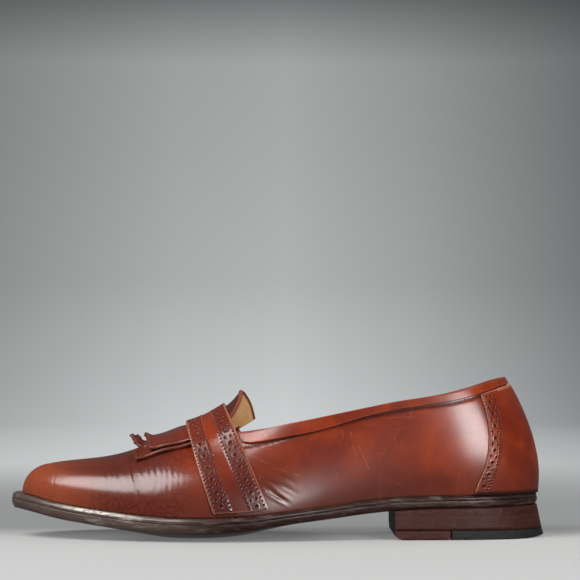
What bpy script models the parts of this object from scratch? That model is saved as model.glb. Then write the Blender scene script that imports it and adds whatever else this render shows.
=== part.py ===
"""Kiltie loafer, left shoe: a leather slip-on with a fringed flap under a punched strap.

The toe points along -X, the lateral side faces -Y and the shoe stands on Z = 0.
Every leather piece is cut from one last surface, which ribs() spreads from the
feather line of the sole up to the ridge of the foot. Lengths are in metres.
"""

import math

import bmesh
import bpy
import numpy as np
from mathutils import Vector

# Overall sizes
SHOE_LENGTH = 0.305
BALL_WIDTH = 0.105
BACK_HEIGHT = 0.0910
INSTEP_HEIGHT = 0.0726
TOE_SPRING = 0.0165
HEEL_HEIGHT = 0.0186
EDGE_LIFT = 0.0046

# Sole and heel
OUTSOLE_THICKNESS = 0.0050
WELT_THICKNESS = 0.0030
EDGE_ROUNDING = 0.0014
INSOLE_RISE = 0.0018
HEEL_LENGTH = 0.0839
HEEL_FLARE_BACK = 0.0034
HEEL_FLARE_SIDE = 0.0005
TOP_LIFT_THICKNESS = 0.0050
RUBBER_LENGTH = 0.0555
HEEL_WEAR = 0.0016
HEEL_WEAR_LENGTH = 0.016
BREAST_CHAMFER = 0.0034

# Leather walls
UPPER_THICKNESS = 0.0018
STRAP_THICKNESS = 0.0016
COUNTER_THICKNESS = 0.0012
BAND_THICKNESS = 0.0010
KILTIE_THICKNESS = 0.0012
TONGUE_THICKNESS = 0.0020
GAP = 0.0003

# Strap over the instep, measured on the ridge, with the lean of its two edges
STRAP_FRONT = 0.1013
STRAP_WIDTH = 0.0233
STRAP_FRONT_LEAN = math.radians(20.0)
STRAP_REAR_LEAN = math.radians(23.5)

# Collar
THROAT_FROM_TOE = 0.1125
THROAT_SIDE_FROM_TOE = 0.1260
BAND_FRONT_WIDTH = 0.0076
BAND_BACK_WIDTH = 0.0043
COUNTER_FROM_TOE = 0.2706
COUNTER_BULGE_HEIGHT = 0.0580
COUNTER_BOW_HEIGHT = 0.030
COUNTER_BOW_TOP = 0.0063
COUNTER_BOW_BOTTOM = 0.0079

# Kiltie: a long lower layer and a short upper one, fringed at the front
KILTIE_WIDTH = 0.063
KILTIE_TUCK = 0.0050
LOWER_REACH = 0.0320
LOWER_SLIT = 0.0250
SHORT_REACH = 0.0240
SHORT_SLIT = 0.0185
SHORT_WIDTH = 0.058
SLIT_WIDTH = 0.0011
TOOTH = 0.0015

# Tongue behind the strap
TONGUE_START = 0.1110
TONGUE_REACH = 0.0246
TONGUE_WIDTH = 0.044
TONGUE_FLARE = 0.0022

SOLE_LENGTH = SHOE_LENGTH - HEEL_FLARE_BACK
HALF_BALL = BALL_WIDTH / 2
CROWN_RISE = 2 * KILTIE_THICKNESS + 3 * GAP
LATERAL = -1
MEDIAL = 1


class Table:
    """Named columns against the first one, joined by smooth curves that never overshoot."""

    def __init__(self, names, *rows):
        self.key = np.array([row[0] for row in rows])
        self.columns = {}
        for place, name in enumerate(names[1:], 1):
            values = np.array([row[place] for row in rows])
            self.columns[name] = (values, self.slopes(values))

    def slopes(self, values):
        steps = np.diff(self.key)
        rates = np.diff(values) / steps
        found = np.zeros(len(values))
        found[0], found[-1] = rates[0], rates[-1]
        for i in range(1, len(values) - 1):
            before, after = rates[i - 1], rates[i]
            if before * after > 0:
                found[i] = 2 * before * after / (before + after)
        return found

    def __call__(self, name, where):
        values, slopes = self.columns[name]
        where = min(max(where, self.key[0]), self.key[-1])
        i = min(int(np.searchsorted(self.key, where, side="right")) - 1, len(self.key) - 2)
        step = self.key[i + 1] - self.key[i]
        t = (where - self.key[i]) / step
        rise = values[i + 1] - values[i]
        bend_a = slopes[i] * step - rise
        bend_b = rise - slopes[i + 1] * step
        return float(values[i] + t * rise + t * (1 - t) * (bend_a * (1 - t) + bend_b * t))


# Plan of the outsole: shares of the sole's length, then of half the ball width
OUTLINE = (
    # station, lateral, medial
    (0.012, 0.235, 0.245),
    (0.045, 0.455, 0.480),
    (0.100, 0.650, 0.675),
    (0.170, 0.815, 0.812),
    (0.250, 0.955, 0.900),
    (0.330, 1.045, 0.915),
    (0.410, 1.050, 0.838),
    (0.500, 0.955, 0.682),
    (0.590, 0.828, 0.573),
    (0.680, 0.738, 0.545),
    (0.770, 0.682, 0.572),
    (0.860, 0.645, 0.598),
    (0.935, 0.535, 0.540),
    (0.980, 0.322, 0.335),
)

# Side view of the sole. Toe and heel lifts are shares of the toe spring and the heel
# height, edge is the share of the edge lift, and body the share of the full thickness
SOLE = Table(
    ("station", "toe_lift", "heel_lift", "edge", "body"),
    (0.000, 1.000, 0.000, 0.15, 1.00),
    (0.040, 0.897, 0.000, 0.16, 1.00),
    (0.103, 0.636, 0.000, 0.24, 1.00),
    (0.182, 0.394, 0.000, 0.38, 1.00),
    (0.245, 0.194, 0.000, 0.65, 1.00),
    (0.290, 0.042, 0.000, 0.95, 1.00),
    (0.310, 0.000, 0.000, 1.00, 1.00),
    (0.375, 0.000, 0.000, 1.00, 1.00),
    (0.425, 0.000, 0.048, 1.00, 0.96),
    (0.460, 0.000, 0.145, 0.76, 0.90),
    (0.500, 0.000, 0.328, 0.48, 0.82),
    (0.550, 0.000, 0.484, 0.26, 0.80),
    (0.605, 0.000, 0.624, 0.10, 0.84),
    (0.660, 0.000, 0.769, 0.03, 0.86),
    (0.715, 0.000, 0.866, 0.00, 0.85),
    (0.770, 0.000, 0.930, 0.00, 0.80),
    (0.880, 0.000, 0.962, 0.00, 0.79),
    (1.000, 0.000, 1.000, 0.00, 0.80),
)

# How far the upper stands in from the sole's edge, along the arc from toe to heel
INSET = Table(
    ("arc", "lateral", "medial"),
    (0.00, 0.0060, 0.0060),
    (0.12, 0.0050, 0.0050),
    (0.35, 0.0040, 0.0042),
    (0.60, 0.0028, 0.0034),
    (0.80, 0.0018, 0.0020),
    (1.00, 0.0014, 0.0014),
)

# Ridge of the last seen from the side and from above: heights are shares of the
# instep height, and the swing a share of half the ball width
RIDGE = Table(
    ("station", "height", "swing"),
    (0.072, 0.570, 0.00),
    (0.092, 0.586, 0.00),
    (0.129, 0.603, 0.01),
    (0.167, 0.619, 0.01),
    (0.206, 0.648, 0.02),
    (0.239, 0.692, 0.03),
    (0.282, 0.762, 0.03),
    (0.331, 0.827, 0.04),
    (0.358, 0.863, 0.04),
    (0.396, 0.939, 0.04),
    (0.437, 1.055, 0.04),
    (0.481, 1.190, 0.03),
    (0.547, 1.340, 0.01),
    (0.663, 1.420, -0.01),
    (0.829, 1.430, -0.01),
    (0.924, 1.330, 0.00),
)

# Ribs of the last along the arc from toe to heel: where each one meets the ridge, how
# far apart the two sides stay there, and the handles of its curve as shares of its
# width (bulge, crown) and height (rise, drop). Tilt leans the rib with the instep
RIBS = Table(
    ("arc", "meets", "part", "bulge", "rise", "crown", "drop", "tilt"),
    (0.000, 0.072, 0.00, 0.01, 0.50, 0.58, 0.00, 0.0),
    (0.085, 0.083, 0.00, 0.02, 0.62, 0.62, 0.00, 0.0),
    (0.140, 0.108, 0.00, 0.02, 0.60, 0.62, 0.00, 0.1),
    (0.210, 0.156, 0.00, 0.02, 0.62, 0.60, 0.00, 0.3),
    (0.285, 0.216, 0.00, 0.02, 0.60, 0.58, 0.00, 0.6),
    (0.355, 0.277, 0.00, 0.03, 0.57, 0.53, 0.00, 0.9),
    (0.430, 0.343, 0.00, 0.04, 0.53, 0.47, 0.00, 1.0),
    (0.505, 0.408, 0.00, 0.06, 0.50, 0.45, 0.00, 1.0),
    (0.595, 0.514, 0.12, 0.09, 0.43, 0.55, 0.10, 1.0),
    (0.675, 0.630, 0.35, 0.12, 0.37, 0.70, 0.24, 1.0),
    (0.755, 0.736, 0.42, 0.13, 0.31, 0.85, 0.32, 0.7),
    (0.835, 0.822, 0.38, 0.15, 0.27, 0.92, 0.37, 0.3),
    (0.905, 0.885, 0.24, 0.15, 0.23, 0.94, 0.39, 0.0),
    (1.000, 0.924, 0.00, 0.15, 0.22, 0.94, 0.39, 0.0),
)

# Collar line seen from the side, as shares of the back height. The medial side is
# a little lower, by a share of the back height
RIM = Table(
    ("station", "height", "medial_drop"),
    (0.400, 0.640, 0.024),
    (0.440, 0.660, 0.024),
    (0.493, 0.684, 0.022),
    (0.548, 0.719, 0.020),
    (0.640, 0.784, 0.015),
    (0.732, 0.845, 0.010),
    (0.826, 0.891, 0.007),
    (0.881, 0.937, 0.004),
    (0.912, 0.970, 0.000),
    (0.940, 0.996, 0.000),
)

# Ribs drawn in each stretch of the arc: closer at the toe, the throat and the back
RIB_SPACING = ((0.15, 8), (0.44, 10), (0.53, 8), (0.86, 10), (1.00, 9))
WALL_ROWS = 9

# Shares of the ribs: where strap and counter start above the welt, how far the counter
# stays below the collar band, and the rib by which its heights are spread
OVERLAY_FOOT = 0.030
BAND_CLEARANCE = 0.008
COUNTER_ARC = 0.93

# Fringe of the lower layer and of the short layer, from lateral to medial:
# length of each strip and how much its tip curls up
LOWER_FRINGE = ((1.04, 0.0012), (0.97, 0.0058), (0.99, 0.0080), (0.96, 0.0072), (1.03, 0.0040))
SHORT_FRINGE = ((0.98, 0.0028), (1.00, 0.0036), (0.97, 0.0030))

# Rear edge of the tongue: reach against the place across it
TONGUE_EDGE = Table(
    ("across", "reach"),
    (-1.0, 0.44),
    (-0.7, 0.72),
    (-0.4, 0.91),
    (0.0, 1.00),
    (0.5, 1.02),
    (1.0, 0.95),
)

# Materials: colour, roughness
LEATHER = ("upper_leather", (0.30, 0.075, 0.028), 0.32)
STRAP_LEATHER = ("strap_leather", (0.25, 0.050, 0.024), 0.30)
KILTIE_LEATHER = ("kiltie_leather", (0.20, 0.038, 0.020), 0.32)
LINING_LEATHER = ("lining_leather", (0.52, 0.30, 0.14), 0.60)
SOLE_LEATHER = ("sole_leather", (0.085, 0.045, 0.030), 0.45)
WELT_LEATHER = ("welt_leather", (0.065, 0.035, 0.024), 0.40)
HEEL_LEATHER = ("heel_leather", (0.095, 0.045, 0.030), 0.45)
HEEL_RUBBER = ("heel_rubber", (0.020, 0.019, 0.018), 0.70)


def from_toe(distance):
    """X of a place that lies this far behind the sole's toe tip."""
    return distance - SHOE_LENGTH / 2


def x_of(station):
    return from_toe(station * SOLE_LENGTH)


def station_of(x):
    return (x + SHOE_LENGTH / 2) / SOLE_LENGTH


def ease(t):
    t = min(max(t, 0.0), 1.0)
    return t * t * (3 - 2 * t)


def closed_spline(points, per_span=24):
    """Samples a smooth closed curve through the points, with its unit normals to the left."""
    points = np.array(points)
    count = len(points)
    steps = np.sqrt(np.linalg.norm(np.roll(points, -1, 0) - points, axis=1))
    matrix = np.zeros((count, count))
    right = np.zeros((count, 2))
    for i in range(count):
        before, after = steps[i - 1], steps[i]
        matrix[i, i - 1] += after
        matrix[i, i] += 2 * (before + after)
        matrix[i, (i + 1) % count] += before
        rate_in = (points[i] - points[i - 1]) / before
        rate_out = (points[(i + 1) % count] - points[i]) / after
        right[i] = 3 * (after * rate_in + before * rate_out)
    tangents = np.linalg.solve(matrix, right)
    samples = []
    slopes = []
    for i in range(count):
        nxt = (i + 1) % count
        start, end = points[i], points[nxt]
        out, into = tangents[i] * steps[i], tangents[nxt] * steps[i]
        for t in np.arange(per_span) / per_span:
            samples.append(
                (2 * t**3 - 3 * t**2 + 1) * start
                + (t**3 - 2 * t**2 + t) * out
                + (3 * t**2 - 2 * t**3) * end
                + (t**3 - t**2) * into
            )
            slopes.append(
                (6 * t**2 - 6 * t) * (start - end)
                + (3 * t**2 - 4 * t + 1) * out
                + (3 * t**2 - 2 * t) * into
            )
    slopes = np.array(slopes)
    slopes /= np.linalg.norm(slopes, axis=1)[:, None]
    return np.array(samples), np.stack([-slopes[:, 1], slopes[:, 0]], 1)


def sole_sides():
    """For each side, the sole's edge from toe to heel: arc share, point and inward normal."""
    toe, heel = (x_of(0.0), 0.0), (x_of(1.0), 0.0)
    lateral = [(x_of(s), -share * HALF_BALL) for s, share, _ in OUTLINE]
    medial = [(x_of(s), share * HALF_BALL) for s, _, share in OUTLINE]
    samples, normals = closed_spline([toe, *lateral, heel, *reversed(medial)])
    middle = (samples[:, 1].min() + samples[:, 1].max()) / 2
    samples[:, 1] -= middle
    half = int(np.argmax(samples[:, 0]))
    sides = {}
    order = {
        LATERAL: np.arange(0, half + 1),
        MEDIAL: np.append(0, np.arange(len(samples) - 1, half - 1, -1)),
    }
    for side, picked in order.items():
        path, inward = samples[picked], normals[picked]
        arc = np.append(0, np.cumsum(np.linalg.norm(np.diff(path, axis=0), axis=1)))
        sides[side] = (arc / arc[-1], path, inward)
    return sides, middle


SIDES, MIDDLE = sole_sides()


def edge_point(side, arc, inset=0.0):
    """Point in plan on the sole's edge, moved inwards by the inset."""
    shares, path, inward = SIDES[side]
    point = np.array([np.interp(arc, shares, path[:, k]) for k in (0, 1)])
    normal = np.array([np.interp(arc, shares, inward[:, k]) for k in (0, 1)])
    return point + inset * normal / np.linalg.norm(normal)


def arc_at(side, x, inset=0.0):
    """Arc share at which the sole's edge passes this X, behind the toe."""
    low, high = 0.02, 0.995
    for _ in range(40):
        middle = (low + high) / 2
        if edge_point(side, middle, inset)[0] < x:
            low = middle
        else:
            high = middle
    return (low + high) / 2


def sole_bottom(x, across):
    """Underside of the outsole: flat in the middle of its width, lifted to its edges."""
    station = station_of(x)
    flat = 0.35
    lift = max(abs(across) - flat, 0.0) / (1 - flat)
    centre = TOE_SPRING * SOLE("toe_lift", station) + HEEL_HEIGHT * SOLE("heel_lift", station)
    return centre + EDGE_LIFT * SOLE("edge", station) * lift**2


def sole_top(x, across):
    return sole_bottom(x, across) + OUTSOLE_THICKNESS * SOLE("body", station_of(x))


def feather(x):
    """Top of the welt, where the upper meets it."""
    return sole_top(x, 1.0) + GAP + WELT_THICKNESS * SOLE("body", station_of(x))


def ridge_point(station):
    x = x_of(station)
    swing = RIDGE("swing", station) * HALF_BALL - MIDDLE * ease((station - 0.08) / 0.2)
    return Vector((x, swing, INSTEP_HEIGHT * RIDGE("height", station)))


def rib_side(rib):
    """Side and arc share of a rib. Ribs run from -1 at the back of the heel, along the
    lateral side to 0 at the toe, and along the medial side to 1 at the back again."""
    if rib > 1:
        rib -= 2
    elif rib < -1:
        rib += 2
    return (LATERAL if rib < 0 else MEDIAL), abs(rib)


def rib_inset(side, arc):
    return INSET("lateral" if side == LATERAL else "medial", arc)


def rib_curve(rib):
    """The four control points of a rib, from the feather line to the ridge."""
    side, arc = rib_side(rib)
    x, y = edge_point(side, arc, rib_inset(side, arc))
    base = Vector((x, y, feather(x) + GAP))
    meets = RIBS("meets", arc)
    top = ridge_point(meets)
    top.y += side * RIBS("part", arc) * HALF_BALL
    bulge, rise, crown, drop, tilt = (
        RIBS(name, arc) for name in ("bulge", "rise", "crown", "drop", "tilt")
    )
    step = 0.004
    slope = (ridge_point(meets + step).z - ridge_point(meets - step).z) / (2 * step * SOLE_LENGTH)
    first = Vector(
        (
            base.x + (top.x - base.x) * (rise * tilt - bulge * (1 - tilt)),
            base.y + (top.y - base.y) * -bulge,
            base.z + (top.z - base.z) * rise,
        )
    )
    second = Vector(
        (
            base.x + (top.x - base.x) * ((1 - drop) * tilt + (1 - crown) * (1 - tilt)),
            base.y + (top.y - base.y) * (1 - crown),
            base.z + (top.z - base.z) * (1 - drop),
        )
    )
    closed = 1 - ease(RIBS("part", arc) / 0.1)
    second.z += closed * slope * (second.x - top.x)
    return base, first, second, top


def on_curve(points, t):
    a, b, c, d = points
    s = 1 - t
    return a * s**3 + b * (3 * s * s * t) + c * (3 * s * t * t) + d * t**3


def last_point(rib, v, offset=0.0):
    """Point of the upper's outer face on a rib, v from 0 at the sole to 1 at the ridge,
    moved outwards by the offset."""
    here = on_curve(rib_curve(rib), v)
    if offset == 0.0:
        return here
    return here + last_normal(rib, v) * offset


def last_normal(rib, v):
    side, arc = rib_side(rib)
    if v > 0.999 and RIBS("part", arc) < 1e-9:
        meets = RIBS("meets", arc)
        step = 0.004
        along = ridge_point(meets + step) - ridge_point(meets - step)
        return Vector((-along.z, 0.0, along.x)).normalized()
    step_rib, step_v = 0.004, 0.01
    low, high = max(v - step_v, 0.0), min(v + step_v, 1.0)
    here = rib_curve(rib)
    up = on_curve(here, high) - on_curve(here, low)
    round_ = on_curve(rib_curve(rib + step_rib), v) - on_curve(rib_curve(rib - step_rib), v)
    return up.cross(round_).normalized()


def rim_share(side, arc):
    """Share of a rib at which the collar cuts it, 1 where the rib runs on to the ridge."""
    curve = rib_curve(side * arc)
    low, high = 0.2, 1.0
    for _ in range(30):
        cut = (low + high) / 2
        point = on_curve(curve, cut)
        station = station_of(point.x)
        drop = RIM("medial_drop", station) if side == MEDIAL else 0.0
        if point.z < BACK_HEIGHT * (RIM("height", station) - drop):
            low = cut
        else:
            high = cut
    meets = RIBS("meets", arc) * SOLE_LENGTH
    opened = (meets - THROAT_FROM_TOE) / (THROAT_SIDE_FROM_TOE - THROAT_FROM_TOE)
    if opened <= 0:
        return 1.0
    if opened >= 1:
        return cut
    return 1 - (1 - cut) * math.sqrt(1 - (1 - opened) ** 2)


def band_share(side, arc):
    """Share of a rib at the lower edge of the collar band."""
    top = rim_share(side, arc)
    curve = rib_curve(side * arc)
    step = 0.02
    speed = (on_curve(curve, top) - on_curve(curve, top - step)).length / step
    narrowed = ease((arc - 0.59) / 0.13)
    return top - (BAND_FRONT_WIDTH + (BAND_BACK_WIDTH - BAND_FRONT_WIDTH) * narrowed) / speed


def arc_meeting(station):
    """Arc share of the rib that meets the ridge at this station."""
    low, high = 0.0, 1.0
    for _ in range(40):
        middle = (low + high) / 2
        if RIBS("meets", middle) < station:
            low = middle
        else:
            high = middle
    return (low + high) / 2


def vamp_place(distance, across):
    """Rib and share of the spot that lies this far from the toe along the ridge, and this
    far across from it, measured on the leather."""
    arc = arc_meeting(distance / SOLE_LENGTH)
    side = LATERAL if across < 0 else MEDIAL
    curve = rib_curve(side * arc)
    steps = 60
    walked = 0.0
    last = on_curve(curve, 1.0)
    for i in range(1, steps + 1):
        v = 1 - i / steps
        here = on_curve(curve, v)
        length = (here - last).length
        if walked + length >= abs(across):
            return side * arc, v + (1 - (abs(across) - walked) / length) / steps
        walked += length
        last = here
    return side * arc, 0.0


def rib_at(side, v, excess, low, high):
    """Arc share between two others where the excess of a point changes its sign."""
    for _ in range(32):
        middle = (low + high) / 2
        if excess(last_point(side * middle, v)) < 0:
            low = middle
        else:
            high = middle
    return (low + high) / 2


def strap_excess(distance, lean):
    """How far a point lies behind a leaning edge that crosses the ridge at the distance."""
    crossing = ridge_point(distance / SOLE_LENGTH)
    return lambda point: point.x - crossing.x - math.tan(lean) * (crossing.z - point.z)


def strap_arcs(side, v):
    """Arc shares of the strap's front and rear edge at this share of the ribs."""
    if v > 0.9999:
        return [arc_meeting(d / SOLE_LENGTH) for d in (STRAP_FRONT, STRAP_FRONT + STRAP_WIDTH)]
    front = rib_at(side, v, strap_excess(STRAP_FRONT, STRAP_FRONT_LEAN), 0.2, 0.7)
    rear = rib_at(side, v, strap_excess(STRAP_FRONT + STRAP_WIDTH, STRAP_REAR_LEAN), 0.2, 0.8)
    return [front, rear]


def material_of(style):
    name, colour, roughness = style
    found = bpy.data.materials.get(name)
    if found:
        return found
    made = bpy.data.materials.new(name)
    made.use_nodes = True
    shader = made.node_tree.nodes["Principled BSDF"]
    shader.inputs["Base Color"].default_value = (*colour, 1.0)
    shader.inputs["Roughness"].default_value = roughness
    shader.inputs["Metallic"].default_value = 0.0
    return made


def add_object(name, style, rows, wrap=False, ring=False, caps=()):
    """An object lofted through rows of points. Wrap closes each row on itself, ring joins
    the last row to the first, and caps names the rows whose loops are filled."""
    bm = bmesh.new()
    grid = [[bm.verts.new(point) for point in row] for row in rows]
    width = len(grid[0])
    for i in range(len(grid) if ring else len(grid) - 1):
        this, following = grid[i], grid[(i + 1) % len(grid)]
        for j in range(width if wrap else width - 1):
            k = (j + 1) % width
            bm.faces.new((this[j], this[k], following[k], following[j]))
    for row in caps:
        bm.faces.new(grid[row])
    bmesh.ops.remove_doubles(bm, verts=bm.verts, dist=1e-6)
    if wrap:
        bmesh.ops.recalc_face_normals(bm, faces=bm.faces)
    mesh = bpy.data.meshes.new(name)
    bm.to_mesh(mesh)
    bm.free()
    mesh.materials.append(material_of(style))
    mesh.shade_smooth()
    mesh.set_sharp_from_angle(angle=math.radians(40))
    made = bpy.data.objects.new(name, mesh)
    SHOE.objects.link(made)
    return made


def add_wall(made, thickness, offset):
    """Gives an open surface its wall, inside it at offset -1 and outside it at offset 1."""
    solid = made.modifiers.new("wall", "SOLIDIFY")
    solid.thickness = thickness
    solid.offset = offset
    solid.use_even_offset = True
    solid.use_quality_normals = True


def add_overlay(made, thickness):
    """Gives a patch that lies on the last a wall that grows away from the foot."""
    centre = Vector((0.0, 0.0, INSTEP_HEIGHT / 2))
    away = sum(face.normal.dot(face.center - centre) * face.area for face in made.data.polygons)
    if away < 0:
        made.data.flip_normals()
    add_wall(made, thickness, 1.0)


def slab_rows(steps, edge, top, bottom, columns, start=None):
    """Closed cross sections of a slab under the foot, from toe or start to heel. Edge gives
    the insets of the side from top to bottom, with the share of the height of each."""
    rows = []
    for step in steps:
        arcs = {}
        for side in (LATERAL, MEDIAL):
            first = arc_at(side, start) if start is not None else 0.0
            arcs[side] = first + (1 - first) * step
        profile = edge(step)
        row = []
        for level, height, order in ((0, top, range(columns + 1)), (-1, bottom, range(columns, -1, -1))):
            left = edge_point(LATERAL, arcs[LATERAL], profile[level][0])
            right = edge_point(MEDIAL, arcs[MEDIAL], profile[level][0])
            for k in order:
                across = 2 * k / columns - 1
                x, y = left + (right - left) * k / columns
                row.append((x, y, height(x, across)))
            side = MEDIAL if level == 0 else LATERAL
            between = profile[1:-1] if level == 0 else profile[-2:0:-1]
            for inset, share in between:
                x, y = edge_point(side, arcs[side], inset)
                row.append((x, y, top(x, 1.0) + (bottom(x, 1.0) - top(x, 1.0)) * share))
        rows.append(row)
    return rows


def cosine_steps(count):
    """Steps from 0 to 1 that lie closer together at both ends."""
    return [(1 - math.cos(math.pi * i / count)) / 2 for i in range(count + 1)]


def even_steps(count):
    return [i / count for i in range(count + 1)]


def toe_and_heel_steps(count, share=0.5):
    """Steps that lie a little closer at the toe and at the heel."""
    return [share * a + (1 - share) * b for a, b in zip(cosine_steps(count), even_steps(count))]


def make_outsole():
    edge = ((EDGE_ROUNDING / 3, 0.0), (0.0, 0.35), (EDGE_ROUNDING / 3, 0.75), (EDGE_ROUNDING, 1.0))
    rows = slab_rows(toe_and_heel_steps(36), lambda step: edge, sole_top, sole_bottom, 6)
    add_object("outsole", SOLE_LEATHER, rows, wrap=True)


def make_welt():
    rows = []
    sections = 72
    for i in range(sections):
        side, arc = rib_side(2 * i / sections - 1)
        inner = rib_inset(side, arc) + UPPER_THICKNESS
        row = []
        outer = EDGE_ROUNDING / 4
        for inset, share in (
            (outer, 0.0),
            (0.0, 0.45),
            (EDGE_ROUNDING * 0.45, 0.82),
            (EDGE_ROUNDING * 1.1, 1.0),
            (inner, 1.0),
            (inner, 0.0),
        ):
            x, y = edge_point(side, arc, inset)
            low = sole_top(x, 1.0) + GAP
            row.append((x, y, low + (feather(x) - low) * share))
        rows.append(row)
    add_object("welt", WELT_LEATHER, rows, wrap=True, ring=True)


def make_insole():
    clear = UPPER_THICKNESS + GAP
    rows = []
    columns = 6
    for step in toe_and_heel_steps(26):
        ends = []
        for side in (LATERAL, MEDIAL):
            ends.append(edge_point(side, step, rib_inset(side, step) + clear))
        row = []
        for k in range(columns + 1):
            x, y = ends[0] + (ends[1] - ends[0]) * k / columns
            row.append((x, y, feather(x) + INSOLE_RISE))
        for k in range(columns, -1, -1):
            x, y = ends[0] + (ends[1] - ends[0]) * k / columns
            row.append((x, y, sole_top(x, 1.0) + GAP))
        rows.append(row)
    add_object("insole", LINING_LEATHER, rows, wrap=True)


def heel_inset(step, height):
    """The heel block stands out from the sole's edge towards its foot, most at the back."""
    down = 1 - height / HEEL_HEIGHT
    flare = HEEL_FLARE_SIDE + (HEEL_FLARE_BACK - HEEL_FLARE_SIDE) * ease((step - 0.45) / 0.55)
    return GAP * (1 - down) - flare * down


def heel_slab(name, style, front, back, top, bottom, levels, steps=16):
    """A layer of the heel from one X to another, whose side follows the flare."""
    rows = []
    columns = 4
    first_arc = {side: arc_at(side, from_toe(SOLE_LENGTH - HEEL_LENGTH)) for side in (LATERAL, MEDIAL)}
    start = {side: arc_at(side, front) for side in (LATERAL, MEDIAL)}
    end = {side: 1.0 if back is None else arc_at(side, back) for side in (LATERAL, MEDIAL)}
    for step in toe_and_heel_steps(steps, 0.3):
        corners = {}
        for side in (LATERAL, MEDIAL):
            arc = start[side] + (end[side] - start[side]) * step
            along = (arc - first_arc[side]) / (1 - first_arc[side])
            corners[side] = [
                (edge_point(side, arc, heel_inset(along, height)), height) for height in levels
            ]
        row = []
        for level, order in ((0, range(columns + 1)), (-1, range(columns, -1, -1))):
            left, right = corners[LATERAL][level][0], corners[MEDIAL][level][0]
            surface = top if level == 0 else bottom
            for k in order:
                x, y = left + (right - left) * k / columns
                row.append((x, y, surface(x, y)))
            side = MEDIAL if level == 0 else LATERAL
            between = corners[side][1:-1] if level == 0 else corners[side][-2:0:-1]
            row.extend((x, y, height) for (x, y), height in between)
        rows.append(row)
    caps = (0,) if back is None else (0, len(rows) - 1)
    add_object(name, style, rows, wrap=True, caps=caps)


def make_heel():
    breast = from_toe(SOLE_LENGTH - HEEL_LENGTH)
    split = from_toe(SHOE_LENGTH - RUBBER_LENGTH)
    back = from_toe(SHOE_LENGTH)
    seam = TOP_LIFT_THICKNESS

    def under_sole(x, y):
        return sole_bottom(x, 0.0) - GAP

    def worn_foot(x, y):
        """Bottom of the top lift: chamfered at the breast and worn away at the very back."""
        worn = HEEL_WEAR * max(0.0, (x - back + HEEL_WEAR_LENGTH) / HEEL_WEAR_LENGTH) ** 2
        cut = BREAST_CHAMFER * max(0.0, 1 - (x - breast) / BREAST_CHAMFER)
        return worn + cut * 0.8

    middle = (HEEL_HEIGHT + seam) / 2
    heel_slab(
        "heel_stack", HEEL_LEATHER, breast, None, under_sole, lambda x, y: seam + GAP,
        (HEEL_HEIGHT, middle, seam + GAP),
    )
    heel_slab(
        "top_lift_leather", HEEL_LEATHER, breast + GAP, split - GAP, lambda x, y: seam, worn_foot,
        (seam, seam / 2, 0.0), steps=10,
    )
    heel_slab(
        "top_lift_rubber", HEEL_RUBBER, split + GAP, None, lambda x, y: seam, worn_foot,
        (seam, seam / 2, 0.0), steps=14,
    )


def rib_places():
    """Arc shares of the ribs that are drawn, from toe to heel."""
    places = [0.0]
    for end, count in RIB_SPACING:
        start = places[-1]
        places.extend(start + (end - start) * i / count for i in range(1, count + 1))
    return places


def make_upper():
    places = rib_places()
    ribs = [-arc for arc in reversed(places)] + places[1:]
    rows = []
    for rib in ribs:
        top = rim_share(*rib_side(rib))
        curve = rib_curve(rib)
        shares = [top * (j / WALL_ROWS) ** 1.1 for j in range(WALL_ROWS + 1)]
        rows.append([on_curve(curve, v) for v in shares])
    add_wall(add_object("upper", LEATHER, rows), UPPER_THICKNESS, -1.0)


def make_strap():
    """The strap lies on the upper at its sides and over kiltie and tongue at the crown."""
    wide = 4
    high = 18
    start = OVERLAY_FOOT
    edge = KILTIE_WIDTH / 2
    rows = []
    for side, order in ((LATERAL, range(high + 1)), (MEDIAL, range(high - 1, -1, -1))):
        for i in order:
            v = start + (1 - start) * math.sin(math.pi / 2 * i / high)
            front, rear = strap_arcs(side, v)
            row = []
            for k in range(wide + 1):
                arc = front + (rear - front) * k / wide
                rib = side * arc
                down = (last_point(rib, v) - last_point(rib, 1.0)).length
                over = 1 - ease((down - edge * 1.04) / (edge * 0.30))
                row.append(last_point(rib, v, GAP + over * CROWN_RISE))
            rows.append(row)
    add_overlay(add_object("strap", STRAP_LEATHER, rows), STRAP_THICKNESS)


def make_counter():
    """Heel piece, cut in front along an arc that bows forwards at its middle height."""

    def excess(point):
        over = point.z - COUNTER_BULGE_HEIGHT
        bow = COUNTER_BOW_TOP if over > 0 else COUNTER_BOW_BOTTOM
        return point.x - from_toe(COUNTER_FROM_TOE) + bow * (over / COUNTER_BOW_HEIGHT) ** 2

    start = OVERLAY_FOOT
    high = 9
    wide = 13
    rows = []
    for side in (LATERAL, MEDIAL):
        columns = range(wide + 1) if side == LATERAL else range(wide - 1, -1, -1)
        for k in columns:
            row = []
            for j in range(high + 1):
                share = j / high
                v = start + (band_share(side, COUNTER_ARC) - start) * share
                front = rib_at(side, v, excess, 0.6, 0.98)
                arc = front + (1 - front) * math.sin(math.pi / 2 * k / wide)
                top = band_share(side, arc) - BAND_CLEARANCE
                row.append(last_point(side * arc, start + (top - start) * share, GAP))
            rows.append(row)
    add_overlay(add_object("counter", LEATHER, rows), COUNTER_THICKNESS)


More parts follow.
